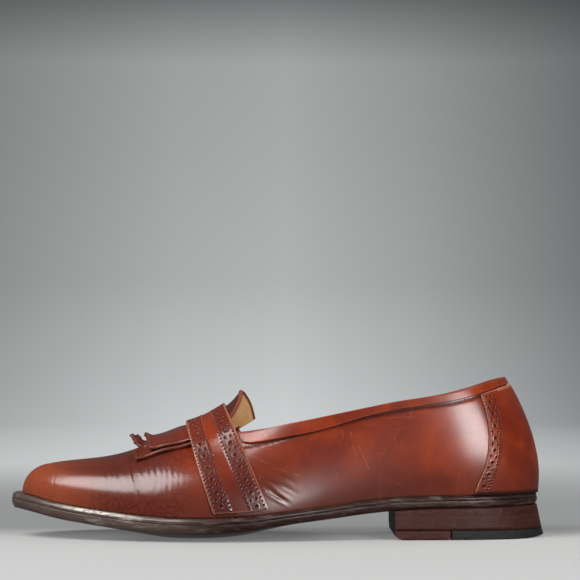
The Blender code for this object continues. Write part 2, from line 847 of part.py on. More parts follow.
def make_collar_band():
    """Folded band along the collar, from the strap round the heel to the strap again."""
    count = 30
    levels = 2
    behind = strap_excess(STRAP_FRONT + STRAP_WIDTH + 2 * GAP, STRAP_REAR_LEAN)
    starts = {}
    for side in (LATERAL, MEDIAL):
        low, high = 0.45, 0.7
        for _ in range(30):
            arc = (low + high) / 2
            if behind(last_point(side * arc, rim_share(side, arc))) < 0.0:
                low = arc
            else:
                high = arc
        starts[side] = arc
    rows = []
    for side in (LATERAL, MEDIAL):
        order = range(count + 1) if side == LATERAL else range(count - 1, -1, -1)
        for i in order:
            arc = starts[side] + (1 - starts[side]) * i / count
            top, low = rim_share(side, arc), band_share(side, arc)
            row = []
            for j in range(levels + 1):
                v = low + (top - low) * j / levels
                lean = strap_lean_shift(side, arc, v, starts[side], i / count, behind)
                row.append(last_point(side * lean, v, GAP))
            rows.append(row)
    add_overlay(add_object("collar_band", LEATHER, rows), BAND_THICKNESS)


def strap_lean_shift(side, arc, v, start, along, behind):
    """Moves the band's first sections so that its end runs along the strap's edge."""
    near = 0.12
    if along > near:
        return arc
    front = rib_at(side, v, behind, 0.35, 0.75)
    return front + (arc - front) * (along / near) if along > 0 else front


def fringe_rows(reach, slit, width, strips, lift, tooth):
    """Strips of a fringed flap, each a grid of points from the tips back under the strap."""
    cells = 4
    root = STRAP_FRONT - slit
    back = STRAP_FRONT + KILTIE_TUCK
    blocks = []
    count = len(strips)
    for number, (length, curl) in enumerate(strips):
        low = -width / 2 + width * number / count
        high = low + width / count
        tip = root + slit - reach * length
        rows = []
        stages = [tip + (root - tip) * t for t in (0.0, 0.14, 0.32, 0.52, 0.76)]
        stages += [root + (back - root) * t for t in (0.0, 0.35, 0.7, 1.0)]
        for stage, distance in enumerate(stages):
            free = min(max((root - distance) / (root - tip), 0.0), 1.0)
            inner_low = low + (SLIT_WIDTH / 2 * free if number > 0 else 0.0)
            inner_high = high - (SLIT_WIDTH / 2 * free if number < count - 1 else 0.0)
            row = []
            for cell in range(cells + 1):
                across = inner_low + (inner_high - inner_low) * cell / cells
                notch = tooth * (cell % 2) if stage == 0 else 0.0
                rib, v = vamp_place(distance + notch, across)
                row.append(last_point(rib, v, lift + curl * free**1.6))
            rows.append(row)
        blocks.append(rows)
    return blocks


def add_flap(name, blocks, thickness):
    """Joins strips that share their roots into one flap and gives it its wall."""
    bm = bmesh.new()
    for rows in blocks:
        grid = [[bm.verts.new(point) for point in row] for row in rows]
        for this, following in zip(grid, grid[1:]):
            for j in range(len(this) - 1):
                bm.faces.new((this[j], this[j + 1], following[j + 1], following[j]))
    bmesh.ops.remove_doubles(bm, verts=bm.verts, dist=1e-6)
    mesh = bpy.data.meshes.new(name)
    bm.to_mesh(mesh)
    bm.free()
    mesh.materials.append(material_of(KILTIE_LEATHER))
    made = bpy.data.objects.new(name, mesh)
    SHOE.objects.link(made)
    add_overlay(made, thickness)


def make_kiltie():
    lower = fringe_rows(LOWER_REACH, LOWER_SLIT, KILTIE_WIDTH, LOWER_FRINGE, GAP, TOOTH)
    add_flap("kiltie_lower", lower, KILTIE_THICKNESS)
    lift = 2 * GAP + KILTIE_THICKNESS
    short = fringe_rows(SHORT_REACH, SHORT_SLIT, SHORT_WIDTH, SHORT_FRINGE, lift, TOOTH / 2)
    add_flap("kiltie_short", short, KILTIE_THICKNESS)


def make_tongue():
    """The tongue lies between vamp and strap, and stands up behind the strap."""
    wide = 12
    long = 7
    lift = CROWN_RISE - TONGUE_THICKNESS
    behind = strap_excess(STRAP_FRONT + STRAP_WIDTH, STRAP_REAR_LEAN)
    rows = []
    for k in range(wide + 1):
        across = 2 * k / wide - 1
        reach = TONGUE_REACH * TONGUE_EDGE("reach", across)
        row = []
        for i in range(long + 1):
            distance = TONGUE_START + reach * i / long
            rib, v = vamp_place(distance, across * TONGUE_WIDTH / 2)
            out = max(0.0, behind(last_point(rib, v))) / TONGUE_REACH
            row.append(last_point(rib, v, lift + TONGUE_FLARE * 4 * out * out))
        rows.append(row)
    add_overlay(add_object("tongue", KILTIE_LEATHER, rows), TONGUE_THICKNESS)


for old in list(bpy.data.objects):
    bpy.data.objects.remove(old)
SHOE = bpy.data.collections.new("kiltie_loafer")
bpy.context.scene.collection.children.link(SHOE)

make_outsole()
make_welt()
make_insole()
make_heel()
make_upper()
make_counter()
make_collar_band()
make_tongue()
make_kiltie()
make_strap()
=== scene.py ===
import math

import bmesh
import bpy
import numpy as np
from mathutils import Matrix, Vector
from mathutils.bvhtree import BVHTree
from mathutils.kdtree import KDTree


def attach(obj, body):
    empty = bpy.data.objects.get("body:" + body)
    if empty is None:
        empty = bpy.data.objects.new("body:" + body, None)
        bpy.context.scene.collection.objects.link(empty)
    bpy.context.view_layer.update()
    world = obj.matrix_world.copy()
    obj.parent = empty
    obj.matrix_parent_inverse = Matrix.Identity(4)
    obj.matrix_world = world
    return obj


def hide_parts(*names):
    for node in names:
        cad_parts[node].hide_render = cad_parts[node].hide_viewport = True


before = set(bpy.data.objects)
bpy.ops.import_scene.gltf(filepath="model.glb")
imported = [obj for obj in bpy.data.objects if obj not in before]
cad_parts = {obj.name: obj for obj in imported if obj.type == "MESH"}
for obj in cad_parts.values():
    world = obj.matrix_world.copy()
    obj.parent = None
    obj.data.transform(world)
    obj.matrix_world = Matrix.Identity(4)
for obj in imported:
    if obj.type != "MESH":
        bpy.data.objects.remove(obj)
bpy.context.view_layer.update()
scene = bpy.context.scene
mm = 0.001


def pick(piece):
    if bpy.context.object and bpy.context.object.mode != "OBJECT":
        bpy.ops.object.mode_set(mode="OBJECT")
    bpy.ops.object.select_all(action="DESELECT")
    piece.select_set(True)
    bpy.context.view_layer.objects.active = piece


def applyModifier(piece, kind, **settings):
    pick(piece)
    made = piece.modifiers.new("work", kind)
    for key, value in settings.items():
        setattr(made, key, value)
    bpy.ops.object.modifier_apply(modifier=made.name)


def smoothen(piece, levels):
    applyModifier(piece, "SUBSURF", levels=levels, render_levels=levels)
    bpy.ops.object.shade_smooth()


def copyNode(node, name, crease=0.75, sharp=55):
    # the node's triangles become one mesh of quads, with its sharp edges creased
    piece = bpy.data.objects.new(name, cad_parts[node].data.copy())
    piece.data.name = name
    scene.collection.objects.link(piece)
    pick(piece)
    bpy.ops.mesh.customdata_custom_splitnormals_clear()
    piece.data.materials.clear()
    bpy.ops.object.mode_set(mode="EDIT")
    bpy.ops.mesh.select_mode(type="EDGE")
    bpy.ops.mesh.select_all(action="SELECT")
    bpy.ops.mesh.remove_doubles(threshold=2e-6)
    bpy.ops.mesh.tris_convert_to_quads(
        face_threshold=math.radians(60), shape_threshold=math.radians(70)
    )
    bpy.ops.mesh.select_all(action="DESELECT")
    bpy.ops.mesh.edges_select_sharp(sharpness=math.radians(sharp))
    bpy.ops.transform.edge_crease(value=crease)
    bpy.ops.object.mode_set(mode="OBJECT")
    bpy.ops.object.shade_smooth()
    return piece


def findShells(piece, sharp=55):
    # marks the faces of a leather wall: 0 on its outside, 1 on its inside, 2 on its cut edge
    form = bmesh.new()
    form.from_mesh(piece.data)
    form.faces.ensure_lookup_table()
    groups = []
    seen = set()
    for start in form.faces:
        if start.index in seen:
            continue
        seen.add(start.index)
        queue = [start]
        group = []
        while queue:
            face = queue.pop()
            group.append(face)
            for edge in face.edges:
                if len(edge.link_faces) == 2 and edge.calc_face_angle(0.0) < math.radians(sharp):
                    for other in edge.link_faces:
                        if other.index not in seen:
                            seen.add(other.index)
                            queue.append(other)
        groups.append(group)
    groups.sort(key=lambda group: -sum(face.calc_area() for face in group))
    kinds = {}
    for group in groups[:2]:
        out = 0.0
        for face in group:
            centre = face.calc_center_median()
            heart = Vector((min(max(centre.x, -0.10), 0.11), 0.0, 0.03))
            out += face.normal.dot(centre - heart) * face.calc_area()
        kinds.update({face.index: 0 if out > 0 else 1 for face in group})
    form.free()
    for face in piece.data.polygons:
        face.material_index = kinds.get(face.index, 2)


def refine(piece, test, cuts):
    # subdivides the faces that pass the test
    pick(piece)
    for face in piece.data.polygons:
        face.select = bool(test(face))
    bpy.ops.object.mode_set(mode="EDIT")
    bpy.ops.mesh.select_mode(type="FACE")
    bpy.ops.mesh.subdivide(number_cuts=cuts)
    bpy.ops.object.mode_set(mode="OBJECT")


def places(piece):
    flat = np.zeros(len(piece.data.vertices) * 3)
    piece.data.vertices.foreach_get("co", flat)
    return flat.reshape(-1, 3)


def facings(piece):
    return np.array([vertex.normal[:] for vertex in piece.data.vertices])


def setPlaces(piece, spots):
    piece.data.vertices.foreach_set("co", np.ascontiguousarray(spots).ravel())
    piece.data.update()


def onShell(piece, kind):
    # True for the points that only touch faces of this kind
    inside = np.ones(len(piece.data.vertices), bool)
    touched = np.zeros(len(piece.data.vertices), bool)
    for face in piece.data.polygons:
        for point in face.vertices:
            if face.material_index == kind:
                touched[point] = True
            else:
                inside[point] = False
    return inside & touched


def toEdge(piece, reach):
    # distance of each point to the cut edge, up to the reach
    rim = set()
    for face in piece.data.polygons:
        if face.material_index == 2:
            rim.update(face.vertices)
    spots = places(piece)
    tree = KDTree(len(rim))
    for point in rim:
        tree.insert(spots[point], point)
    tree.balance()
    found = np.full(len(spots), reach)
    for point, spot in enumerate(spots):
        found[point] = min(tree.find(spot)[2], reach)
    return found


def paint(piece, name, values):
    # a number for each point or for all, which the materials read by its name
    layer = piece.data.attributes.new(name, "FLOAT", "POINT")
    values = np.broadcast_to(values, len(piece.data.vertices))
    layer.data.foreach_set("value", np.ascontiguousarray(values, np.float32))


def rising(values, start, width):
    # 0 up to the start, then evenly up to 1
    return np.clip((values - start) / width, 0, 1)


def falling(values, end, width):
    # 1, then evenly down to 0 at the end
    return np.clip((end - values) / width, 0, 1)


def bell(values, middle, width):
    # 1 at the middle, fading on both sides
    return np.exp(-(((values - middle) / width) ** 2))


def edgeWear(gap, shape):
    # how worn each point is at this distance from the cut edge; the paler edge is partly wear and partly
    # a painted highlight along the rounded edge
    width, most = shape["edgeWear"]
    return bell(gap, 0, width) * most


edgeReach = 2 * mm
facingSpread = 20 * mm


def facingMask(inside):
    # 0.5 along the edge of a facing strip, more inside it; the lining's material reads this
    return np.clip(inside / facingSpread + 0.5, 0, 1)


def treeOf(piece):
    return BVHTree.FromPolygons(
        [vertex.co for vertex in piece.data.vertices],
        [face.vertices[:] for face in piece.data.polygons],
    )


def castSide(tree, x, z, side):
    # the spot and normal seen from the lateral side (-1) or the medial side (1)
    spot, normal, _, _ = tree.ray_cast(Vector((x, 0.2 * side, z)), Vector((0, -side, 0)))
    return (spot, normal) if spot else None


def castLeaning(tree, x, z, lean, turn):
    # the spot seen along a plane that leans back by lean and passes (x, z); turn 0 looks
    # from the lateral side, 90 from above and 180 from the medial side
    low = 0.032
    heart = Vector((x + math.tan(lean) * (z - low), 0.0, low))
    up = Vector((-math.sin(lean), 0.0, math.cos(lean)))
    ray = Vector((0, -1, 0)) * math.cos(turn) + up * math.sin(turn)
    spot, normal, _, _ = tree.ray_cast(heart + ray * 0.15, -ray)
    return (spot, normal) if spot and (spot - heart).dot(ray) > 0 else None


def evenly(path, step, start=0.0):
    # spots at equal steps along a path of (spot, normal), each with its direction
    found = []
    due = start
    walked = 0.0
    for (a, normalA), (b, normalB) in zip(path, path[1:]):
        length = (b - a).length
        while due <= walked + length:
            share = (due - walked) / max(length, 1e-9)
            spot = a.lerp(b, share)
            found.append((spot, normalA.lerp(normalB, share).normalized(), (b - a).normalized()))
            due += step
        walked += length
    return found


def join(pieces, name):
    pick(pieces[0])
    for piece in pieces:
        piece.select_set(True)
    bpy.ops.object.join()
    pieces[0].name = name
    pieces[0].data.name = name
    return pieces[0]


def finishPiece(piece, node, slot, *materials):
    if materials:
        kinds = [face.material_index for face in piece.data.polygons]
        piece.data.materials.clear()
        for material in materials:
            piece.data.materials.append(material)
        piece.data.polygons.foreach_set("material_index", kinds)
    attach(piece, "root")
    if node:
        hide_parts(node)


class Value:
    # a node's output that can be reckoned with
    def __init__(self, finish, socket):
        self.finish = finish
        self.socket = socket

    def reckon(self, operation, first, second=None, clamp=False):
        inputs = {0: first} if second is None else {0: first, 1: second}
        return self.finish.node(
            "ShaderNodeMath", {"operation": operation, "use_clamp": clamp}, inputs
        )

    def __add__(self, other):
        return self.reckon("ADD", self, other)

    def __radd__(self, other):
        return self.reckon("ADD", other, self)

    def __sub__(self, other):
        return self.reckon("SUBTRACT", self, other)

    def __rsub__(self, other):
        return self.reckon("SUBTRACT", other, self)

    def __mul__(self, other):
        return self.reckon("MULTIPLY", self, other)

    def __rmul__(self, other):
        return self.reckon("MULTIPLY", other, self)

    def __truediv__(self, other):
        return self.reckon("DIVIDE", self, other)

    def __pow__(self, other):
        return self.reckon("POWER", self, other)

    def top(self, other):
        return self.reckon("MAXIMUM", self, other)

    def size(self):
        return self.reckon("ABSOLUTE", self)

    def held(self):
        return self.reckon("ADD", self, 0.0, clamp=True)


class Finish:
    # a material and the nodes that make it
    def __init__(self, name):
        self.material = bpy.data.materials.new(name)
        self.material.use_nodes = True
        self.tree = self.material.node_tree
        self.shader = self.tree.nodes["Principled BSDF"]

    def node(self, kind, settings=None, inputs=None, output=0):
        made = self.tree.nodes.new(kind)
        for key, value in (settings or {}).items():
            if key == "stops":
                while len(made.color_ramp.elements) < len(value):
                    made.color_ramp.elements.new(0.5)
                for element, (place, shade) in zip(made.color_ramp.elements, value):
                    element.position = place
                    element.color = shade if len(shade) == 4 else (*shade, 1.0)
            else:
                setattr(made, key, value)
        for key, value in (inputs or {}).items():
            self.plug(value, made.inputs[key])
        return Value(self, made.outputs[output])

    def plug(self, value, socket):
        if isinstance(value, Value):
            self.tree.links.new(value.socket, socket)
        elif socket.type == "RGBA" and len(value) == 3:
            socket.default_value = (*value, 1.0)
        else:
            socket.default_value = value

    def place(self, scale=(1, 1, 1), turn=(0, 0, 0)):
        spot = self.node("ShaderNodeTexCoord", output="Object")
        if tuple(scale) == (1, 1, 1) and tuple(turn) == (0, 0, 0):
            return spot
        return self.node("ShaderNodeMapping", None, {"Vector": spot, "Scale": scale, "Rotation": turn})

    def speckle(self, scale, detail=2.0, rough=0.5, stretch=(1, 1, 1), turn=(0, 0, 0), twist=0.0):
        return self.node(
            "ShaderNodeTexNoise",
            None,
            {
                "Vector": self.place(stretch, turn),
                "Scale": scale,
                "Detail": detail,
                "Roughness": rough,
                "Distortion": twist,
            },
        )

    def between(self, value, low, high, smooth=True):
        return self.node(
            "ShaderNodeMapRange",
            {"interpolation_type": "SMOOTHSTEP" if smooth else "LINEAR"},
            {"Value": value, "From Min": low, "From Max": high},
        )

    def blend(self, mask, first, second, way="MIX"):
        return self.node(
            "ShaderNodeMix",
            {"data_type": "RGBA", "blend_type": way},
            {0: mask, 6: first, 7: second},
            2,
        )

    def attribute(self, name):
        return self.node("ShaderNodeAttribute", {"attribute_name": name}, output="Fac")

    def axis(self, letter):
        return self.node("ShaderNodeSeparateXYZ", None, {0: self.place()}, letter)

    def bump(self, height, distance, strength=1.0):
        return self.node(
            "ShaderNodeBump", None, {"Height": height, "Distance": distance, "Strength": strength}
        )

    def wire(self, **sockets):
        for name, value in sockets.items():
            self.plug(value, self.shader.inputs[name.replace("_", " ")])
        return self.material


def scratches(made, lines, width):
    # fine lines on the side of the foot, each given by its two ends (x, z)
    across = made.axis("X")
    height = made.axis("Z")
    found = None
    for (xa, za), (xb, zb) in lines:
        length = (xb - xa) ** 2 + (zb - za) ** 2
        along = (((across - xa) * (xb - xa) + (height - za) * (zb - za)) / length).held()
        offX = across - xa - along * (xb - xa)
        offZ = height - za - along * (zb - za)
        mark = made.between((offX * offX + offZ * offZ) ** 0.5, width, 0.0)
        found = found.top(mark) if found else mark
    return found


def leatherFinish(name, look):
    # polished calf: a clear coat over a mottled dye, darker near the sole, with painted shade in creases
    made = Finish(name)
    height = made.axis("Z")
    length = made.axis("X")
    cloudy = made.speckle(38, 4, 0.55, twist=0.6)
    mottled = made.speckle(210, 3, 0.6)
    low = made.between(height, look["lowTop"], look["lowFoot"])
    low = (low * 0.85 + (cloudy - 0.5) * 0.9 * low).held()
    colour = made.blend(made.between(cloudy, 0.30, 0.74), look["deep"], look["warm"])
    colour = made.blend(low * look["lowStrength"], colour, look["low"])
    toe = made.between(length, -0.085, -0.135) * look["toe"]
    colour = made.blend(toe, colour, look["tip"])
    colour = made.blend(made.between(mottled, 0.35, 0.75) * 0.22, colour, look["deep"])
    # long fine rubs in two directions, and dull haze where the polish has worn
    rubs = made.speckle(30, 3, 0.7, stretch=(14, 14, 1.6), turn=(0.0, 0.45, 0.0), twist=1.2)
    rubs = made.between(rubs, 0.62, 0.72) * look["rubs"]
    streaks = made.speckle(26, 3, 0.7, stretch=(1.5, 1.5, 18), turn=(0.0, -0.35, 0.0), twist=1.0)
    streaks = made.between(streaks, 0.64, 0.74) * look["rubs"]
    worn = rubs.top(streaks).top(made.attribute("worn"))
    if look["scratches"]:
        marks = scratches(made, look["scratches"], 0.0003) * made.between(mottled, 0.40, 0.65)
        worn = worn.top(marks * made.between(made.axis("Y"), 0.0, -0.001) * 0.45)
    # the tone attribute: darker dye fields, and a painted shade on the vamp's upward-facing top
    colour = made.blend(made.attribute("tone").held(), colour, look["low"])
    # fine wrinkles where the foot bends; their lines are darkened in colour, a painted shade
    flexed = made.between(length, -0.112, -0.090) * made.between(length, -0.040, -0.056)
    drift = made.node("ShaderNodeTexNoise", None, {"Vector": made.place(), "Scale": 150.0}, "Color")
    bent = made.node(
        "ShaderNodeVectorMath",
        {"operation": "MULTIPLY_ADD"},
        {0: drift, 1: (0.006, 0.006, 0.006), 2: made.place((1.0, 1.0, 0.6), (0.0, 0.35, 0.0))},
    )
    cells = made.node(
        "ShaderNodeTexVoronoi", {"feature": "DISTANCE_TO_EDGE"}, {"Vector": bent, "Scale": 240.0}
    )
    lines = made.between(cells, 0.14, 0.0) * (flexed * 0.8 + 0.12)
    # painted shade along the wrinkle lines
    colour = made.blend(lines * 0.2 * look["wrinkle"], colour, look["low"])
    colour = made.blend(worn * 0.55, colour, look["pale"])
    # painted shade from the dark attribute: creases, grooves, holes, the heel breast and parts under
    # other parts; on the tongue also a darker outer face
    dark = made.attribute("dark")
    colour = made.blend(dark.held(), colour, look["black"])
    pores = made.speckle(1500, 2, 0.6)
    grain = made.speckle(520, 3, 0.6)
    wrinkled = made.speckle(95, 3, 0.55, stretch=(1.0, 1.0, 0.55), twist=0.8)
    folds = made.speckle(120, 4, 0.6, stretch=(2.2, 1.0, 0.55), turn=(0.0, 0.25, 0.0), twist=1.2)
    waves = made.speckle(42, 2, 0.5)
    relief = pores * 0.25 + grain + wrinkled * 3.0 * look["wrinkle"] - rubs * 0.5
    relief = relief + waves * 5.5 * look["wrinkle"] + folds * flexed * 5.0 * look["wrinkle"]
    relief = relief - lines * 1.5 * look["wrinkle"]
    rough = made.between(cloudy, 0.3, 0.7) * 0.06 + look["rough"] + worn * 0.14 + dark * 0.3
    made.wire(
        Base_Color=colour,
        Roughness=rough.held(),
        Specular_IOR_Level=look["sheen"],
        Coat_Weight=(look["coat"] - worn * 0.35 - dark * 0.5).held(),
        Coat_Roughness=look["coatRough"],
        Coat_IOR=1.5,
        Normal=made.bump(relief, look["bump"]),
    )
    return made.material


chestnut = {
    "deep": (0.112, 0.012, 0.004),
    "warm": (0.218, 0.028, 0.005),
    "low": (0.056, 0.014, 0.010),
    "tip": (0.270, 0.062, 0.024),
    "pale": (0.52, 0.24, 0.15),
    "black": (0.020, 0.008, 0.006),
    "lowTop": 0.054,
    "lowFoot": 0.016,
    "lowStrength": 0.8,
    "toe": 0.55,
    "rubs": 0.12,
    "scratches": (),
    "wrinkle": 1.0,
    "rough": 0.45,
    "sheen": 0.0,
    "coat": 0.8,
    "coatRough": 0.22,
    "bump": 0.00028,
}
upperLook = dict(chestnut)
upperLook["scratches"] = (
    ((0.0360, 0.061), (0.0395, 0.050)),
    ((0.0410, 0.060), (0.0435, 0.047)),
    ((0.0455, 0.052), (0.0510, 0.040)),
    ((-0.0132, 0.047), (-0.0022, 0.0404)),
    ((-0.0022, 0.0404), (0.0138, 0.036)),
)
upperLeather = leatherFinish("upperLeather", upperLook)
strapLook = dict(chestnut)
strapLook.update(deep=(0.100, 0.013, 0.005), warm=(0.200, 0.025, 0.005), low=(0.036, 0.008, 0.008))
strapLook.update(lowTop=0.064, wrinkle=0.5, coatRough=0.2)
strapLeather = leatherFinish("strapLeather", strapLook)
kiltieLook = dict(chestnut)
kiltieLook.update(deep=(0.078, 0.011, 0.006), warm=(0.150, 0.021, 0.008))
kiltieLook.update(toe=0.0, wrinkle=0.7, coat=1.0, coatRough=0.14)
kiltieLeather = leatherFinish("kiltieLeather", kiltieLook)


def liningFinish():
    made = Finish("liningLeather")
    cloudy = made.speckle(45, 3, 0.6)
    pores = made.speckle(900, 2, 0.6)
    colour = made.blend(made.between(cloudy, 0.35, 0.7), (0.50, 0.29, 0.12), (0.64, 0.40, 0.19))
    colour = made.blend(made.between(pores, 0.5, 0.8) * 0.35, colour, (0.33, 0.16, 0.06))
    facing = made.attribute("facing")
    seam = made.between(facing, 0.46, 0.49) * made.between(facing, 0.54, 0.51)
    colour = made.blend(made.between(facing, 0.495, 0.505), colour, (0.13, 0.020, 0.008))
    colour = made.blend(seam * 0.6, colour, (0.06, 0.02, 0.012))
    made.wire(
        Base_Color=colour,
        Roughness=0.62 + made.between(cloudy, 0.3, 0.7) * 0.08 - made.between(facing, 0.49, 0.51) * 0.25,
        Normal=made.bump(pores * 0.5 + cloudy * 0.5, 0.0002),
    )
    return made.material


def cutEdgeFinish():
    # raw edge of the leather, dyed and rubbed pale
    made = Finish("cutEdge")
    fibres = made.speckle(700, 3, 0.7)
    colour = made.blend(made.between(fibres, 0.3, 0.75), (0.14, 0.040, 0.020), (0.40, 0.19, 0.11))
    # painted shade where the dark attribute says so, as on the counter's foot at the heel seat
    colour = made.blend(made.attribute("dark").held(), colour, (0.020, 0.008, 0.006))
    made.wire(Base_Color=colour, Roughness=0.5, Normal=made.bump(fibres, 0.0001))
    return made.material


def soleEdgeFinish(name, dark, light, scuffed):
    # waxed edge, with pale scuffs near the toe and a rubbed upper line
    made = Finish(name)
    length = made.axis("X")
    grain = made.speckle(260, 4, 0.7, stretch=(0.35, 0.35, 3.0))
    cloudy = made.speckle(60, 4, 0.6)
    colour = made.blend(made.between(grain, 0.3, 0.75), dark, light)
    scuffZone = made.between(length, -0.045, -0.080) * made.between(length, -0.125, -0.100)
    scuff = made.between(made.speckle(170, 4, 0.7, stretch=(0.5, 1, 2.5)), 0.52, 0.66)
    scuff = scuff * (scuffZone * 0.3 + 0.12) * scuffed
    chafed = made.between(made.speckle(520, 4, 0.7, stretch=(0.5, 1, 1.6)), 0.34, 0.56)
    worn = scuff.top(made.attribute("worn") * chafed)
    forepart = made.between(length, -0.02, -0.08)
    colour = made.blend(forepart * 0.5, colour, (0.11, 0.078, 0.068))
    colour = made.blend(worn.held() * 0.9, colour, (0.62, 0.56, 0.50))
    colour = made.blend(made.attribute("dark").held(), colour, (0.010, 0.007, 0.006))
    made.wire(
        Base_Color=colour,
        Roughness=(0.36 + worn * 0.2 + made.between(cloudy, 0.3, 0.7) * 0.08).held(),
        Specular_IOR_Level=0.12,
        Coat_Weight=(0.35 - worn * 0.3).held(),
        Coat_Roughness=0.18,
        Normal=made.bump(grain * 0.4 + cloudy * 0.8, 0.00018),
    )
    return made.material


def heelFinish():
    # stacked leather: thin lifts whose tones differ a little, rubbed with wax
    made = Finish("heelLeather")
    height = made.axis("Z")
    wander = made.speckle(40, 2, 0.5)
    level = (height + (wander - 0.5) * 0.0004) * (1 / 0.0034)  # lifts of 3.4 mm
    lift = made.node("ShaderNodeMath", {"operation": "FLOOR"}, {0: level})
    tone = made.node("ShaderNodeTexWhiteNoise", {"noise_dimensions": "1D"}, {"W": lift})
    part = made.node("ShaderNodeMath", {"operation": "FRACT"}, {0: level})
    seam = made.between(part, 0.90, 0.97) * made.between(part, 1.0, 0.98)
    fibres = made.speckle(420, 4, 0.7, stretch=(0.6, 0.6, 1.8))
    scratches = made.speckle(60, 3, 0.7, stretch=(6, 6, 0.8), twist=0.8)
    scratches = made.between(scratches, 0.62, 0.72)
    colour = made.blend(made.between(fibres, 0.3, 0.75), (0.024, 0.0065, 0.005), (0.053, 0.015, 0.010))
    colour = made.blend(tone * 0.25, colour, (0.050, 0.019, 0.014))
    colour = made.blend(seam * 0.22, colour, (0.016, 0.009, 0.008))
    colour = made.blend(scratches * 0.22, colour, (0.20, 0.12, 0.09))
    # painted shadow from the dark attribute on the heel's breast
    colour = made.blend(made.attribute("dark").held(), colour, (0.012, 0.008, 0.007))
    made.wire(
        Base_Color=colour,
        Roughness=0.44 + fibres * 0.12,
        Specular_IOR_Level=0.12,
        Coat_Weight=0.06,
        Coat_Roughness=0.25,
        Normal=made.bump(fibres * 0.5 - seam * 0.5 + scratches * 0.3, 0.00015),
    )
    return made.material


def rubberFinish():
    made = Finish("heelRubber")
    grit = made.speckle(650, 3, 0.7)
    colour = made.blend(made.between(grit, 0.35, 0.75), (0.009, 0.0085, 0.009), (0.020, 0.019, 0.020))
    made.wire(Base_Color=colour, Roughness=0.62, Specular_IOR_Level=0.2, Normal=made.bump(grit, 0.00015))
    return made.material


def threadFinish(name, colour):
    made = Finish(name)
    twist = made.speckle(2200, 2, 0.5)
    shade = made.blend(made.between(twist, 0.35, 0.7), tuple(c * 0.6 for c in colour), colour)
    made.wire(Base_Color=shade, Roughness=0.6, Normal=made.bump(twist, 0.00008))
    return made.material


liningLeather = liningFinish()
cutEdge = cutEdgeFinish()
outsoleFinish = soleEdgeFinish("soleLeather", (0.013, 0.005, 0.004), (0.036, 0.014, 0.010), 0.4)
weltFinish = soleEdgeFinish("weltLeather", (0.015, 0.006, 0.005), (0.040, 0.017, 0.013), 0.8)
seatFinish = soleEdgeFinish("heelSeatLeather", (0.030, 0.017, 0.013), (0.085, 0.055, 0.044), 0.0)
heelLeather = heelFinish()
heelRubber = rubberFinish()
blackThread = threadFinish("blackThread", (0.030, 0.018, 0.015))
brownThread = threadFinish("brownThread", (0.075, 0.024, 0.014))
weltThread = threadFinish("weltThread", (0.10, 0.055, 0.032))
print("materials are ready")


upperShape = {
    "levels": 2,
    # painted shade in the creases: how strongly, and at most
    "creaseShade": 1.4,
    "creaseShadeMost": 0.5,
    "seamReach": 3 * mm,
    "seamWidth": 0.75 * mm,
    "seamDepth": 0.25 * mm,
    "seamShade": 0.8,
    "facingWidth": 11 * mm,
    # darker fields: where each fades in or out along the shoe or in height, and over what width
    "vampFront": (-0.140, 0.03),
    "vampBack": (-0.045, 0.02),
    # painted shade on the vamp's top, where it faces upward, away from the front light
    "vampTopFacing": (0.45, 0.4),
    "vampTopShade": 0.7,
    "quarterFront": (0.0, 0.02),
    "quarterBack": (0.100, 0.03),
    "quarterTop": (0.052, 0.025),
    "quarterTone": 0.55,
    "strapFront": (-0.030, 0.015),
    "strapBack": (0.050, 0.05),
    "strapTone": 0.4,
    "creases": (
        # spots (x, z) in mm, width, depth, and the sides that have it
        (((-77, 24), (-79, 34), (-84, 46), (-87, 53)), 0.9, 0.34, (-1,)),
        (((-74, 27), (-77, 35), (-82, 44), (-85, 50)), 0.7, 0.22, (-1,)),
        (((-80, 28), (-83, 36), (-87, 45)), 0.7, 0.12, (-1,)),
        (((-71, 30), (-70, 37), (-73, 44)), 0.7, 0.14, (-1,)),
        (((-67, 27), (-66, 35), (-69, 44)), 0.7, 0.16, (-1,)),
        (((-63, 31), (-63, 38), (-66, 46)), 0.6, 0.13, (-1,)),
        (((-60, 26), (-60, 35), (-62, 45)), 0.7, 0.16, (-1, 1)),
        (((-56, 30), (-57, 38), (-58, 45)), 0.6, 0.11, (-1,)),
        (((-53, 26), (-54, 33), (-54, 41)), 0.6, 0.10, (-1,)),
        (((-86, 29), (-89, 38), (-92, 45)), 0.7, 0.13, (-1,)),
        (((-92, 30), (-96, 37), (-101, 43)), 0.7, 0.10, (-1,)),
        (((-78, 45), (-74, 48), (-69, 49)), 0.7, 0.14, (-1,)),
        (((-76, 40), (-71, 43), (-66, 47)), 0.6, 0.11, (-1,)),
        (((-125.5, 25), (-126, 31), (-125, 37)), 0.6, 0.05, (-1,)),
        (((-10.5, 42.6), (1.7, 37), (11.6, 31.5)), 0.8, 0.15, (-1,)),
        (((-11, 47), (0, 43.5), (12, 40)), 0.7, 0.09, (-1, 1)),
        (((-9, 36.5), (2, 31.5), (12, 26)), 0.8, 0.13, (-1,)),
        (((-9.5, 34), (-5, 29.5), (1, 25), (7, 20.5)), 1.0, 0.20, (-1, 1)),
        (((-7, 28.5), (-1, 25), (5, 22)), 0.9, 0.16, (-1, 1)),
        (((-12, 40), (-5, 35), (2, 31)), 0.9, 0.10, (-1, 1)),
        (((-78, 26), (-80, 36), (-82, 45)), 0.9, 0.22, (1,)),
        (((-70, 28), (-72, 36), (-75, 43)), 0.8, 0.16, (1,)),
    ),
}


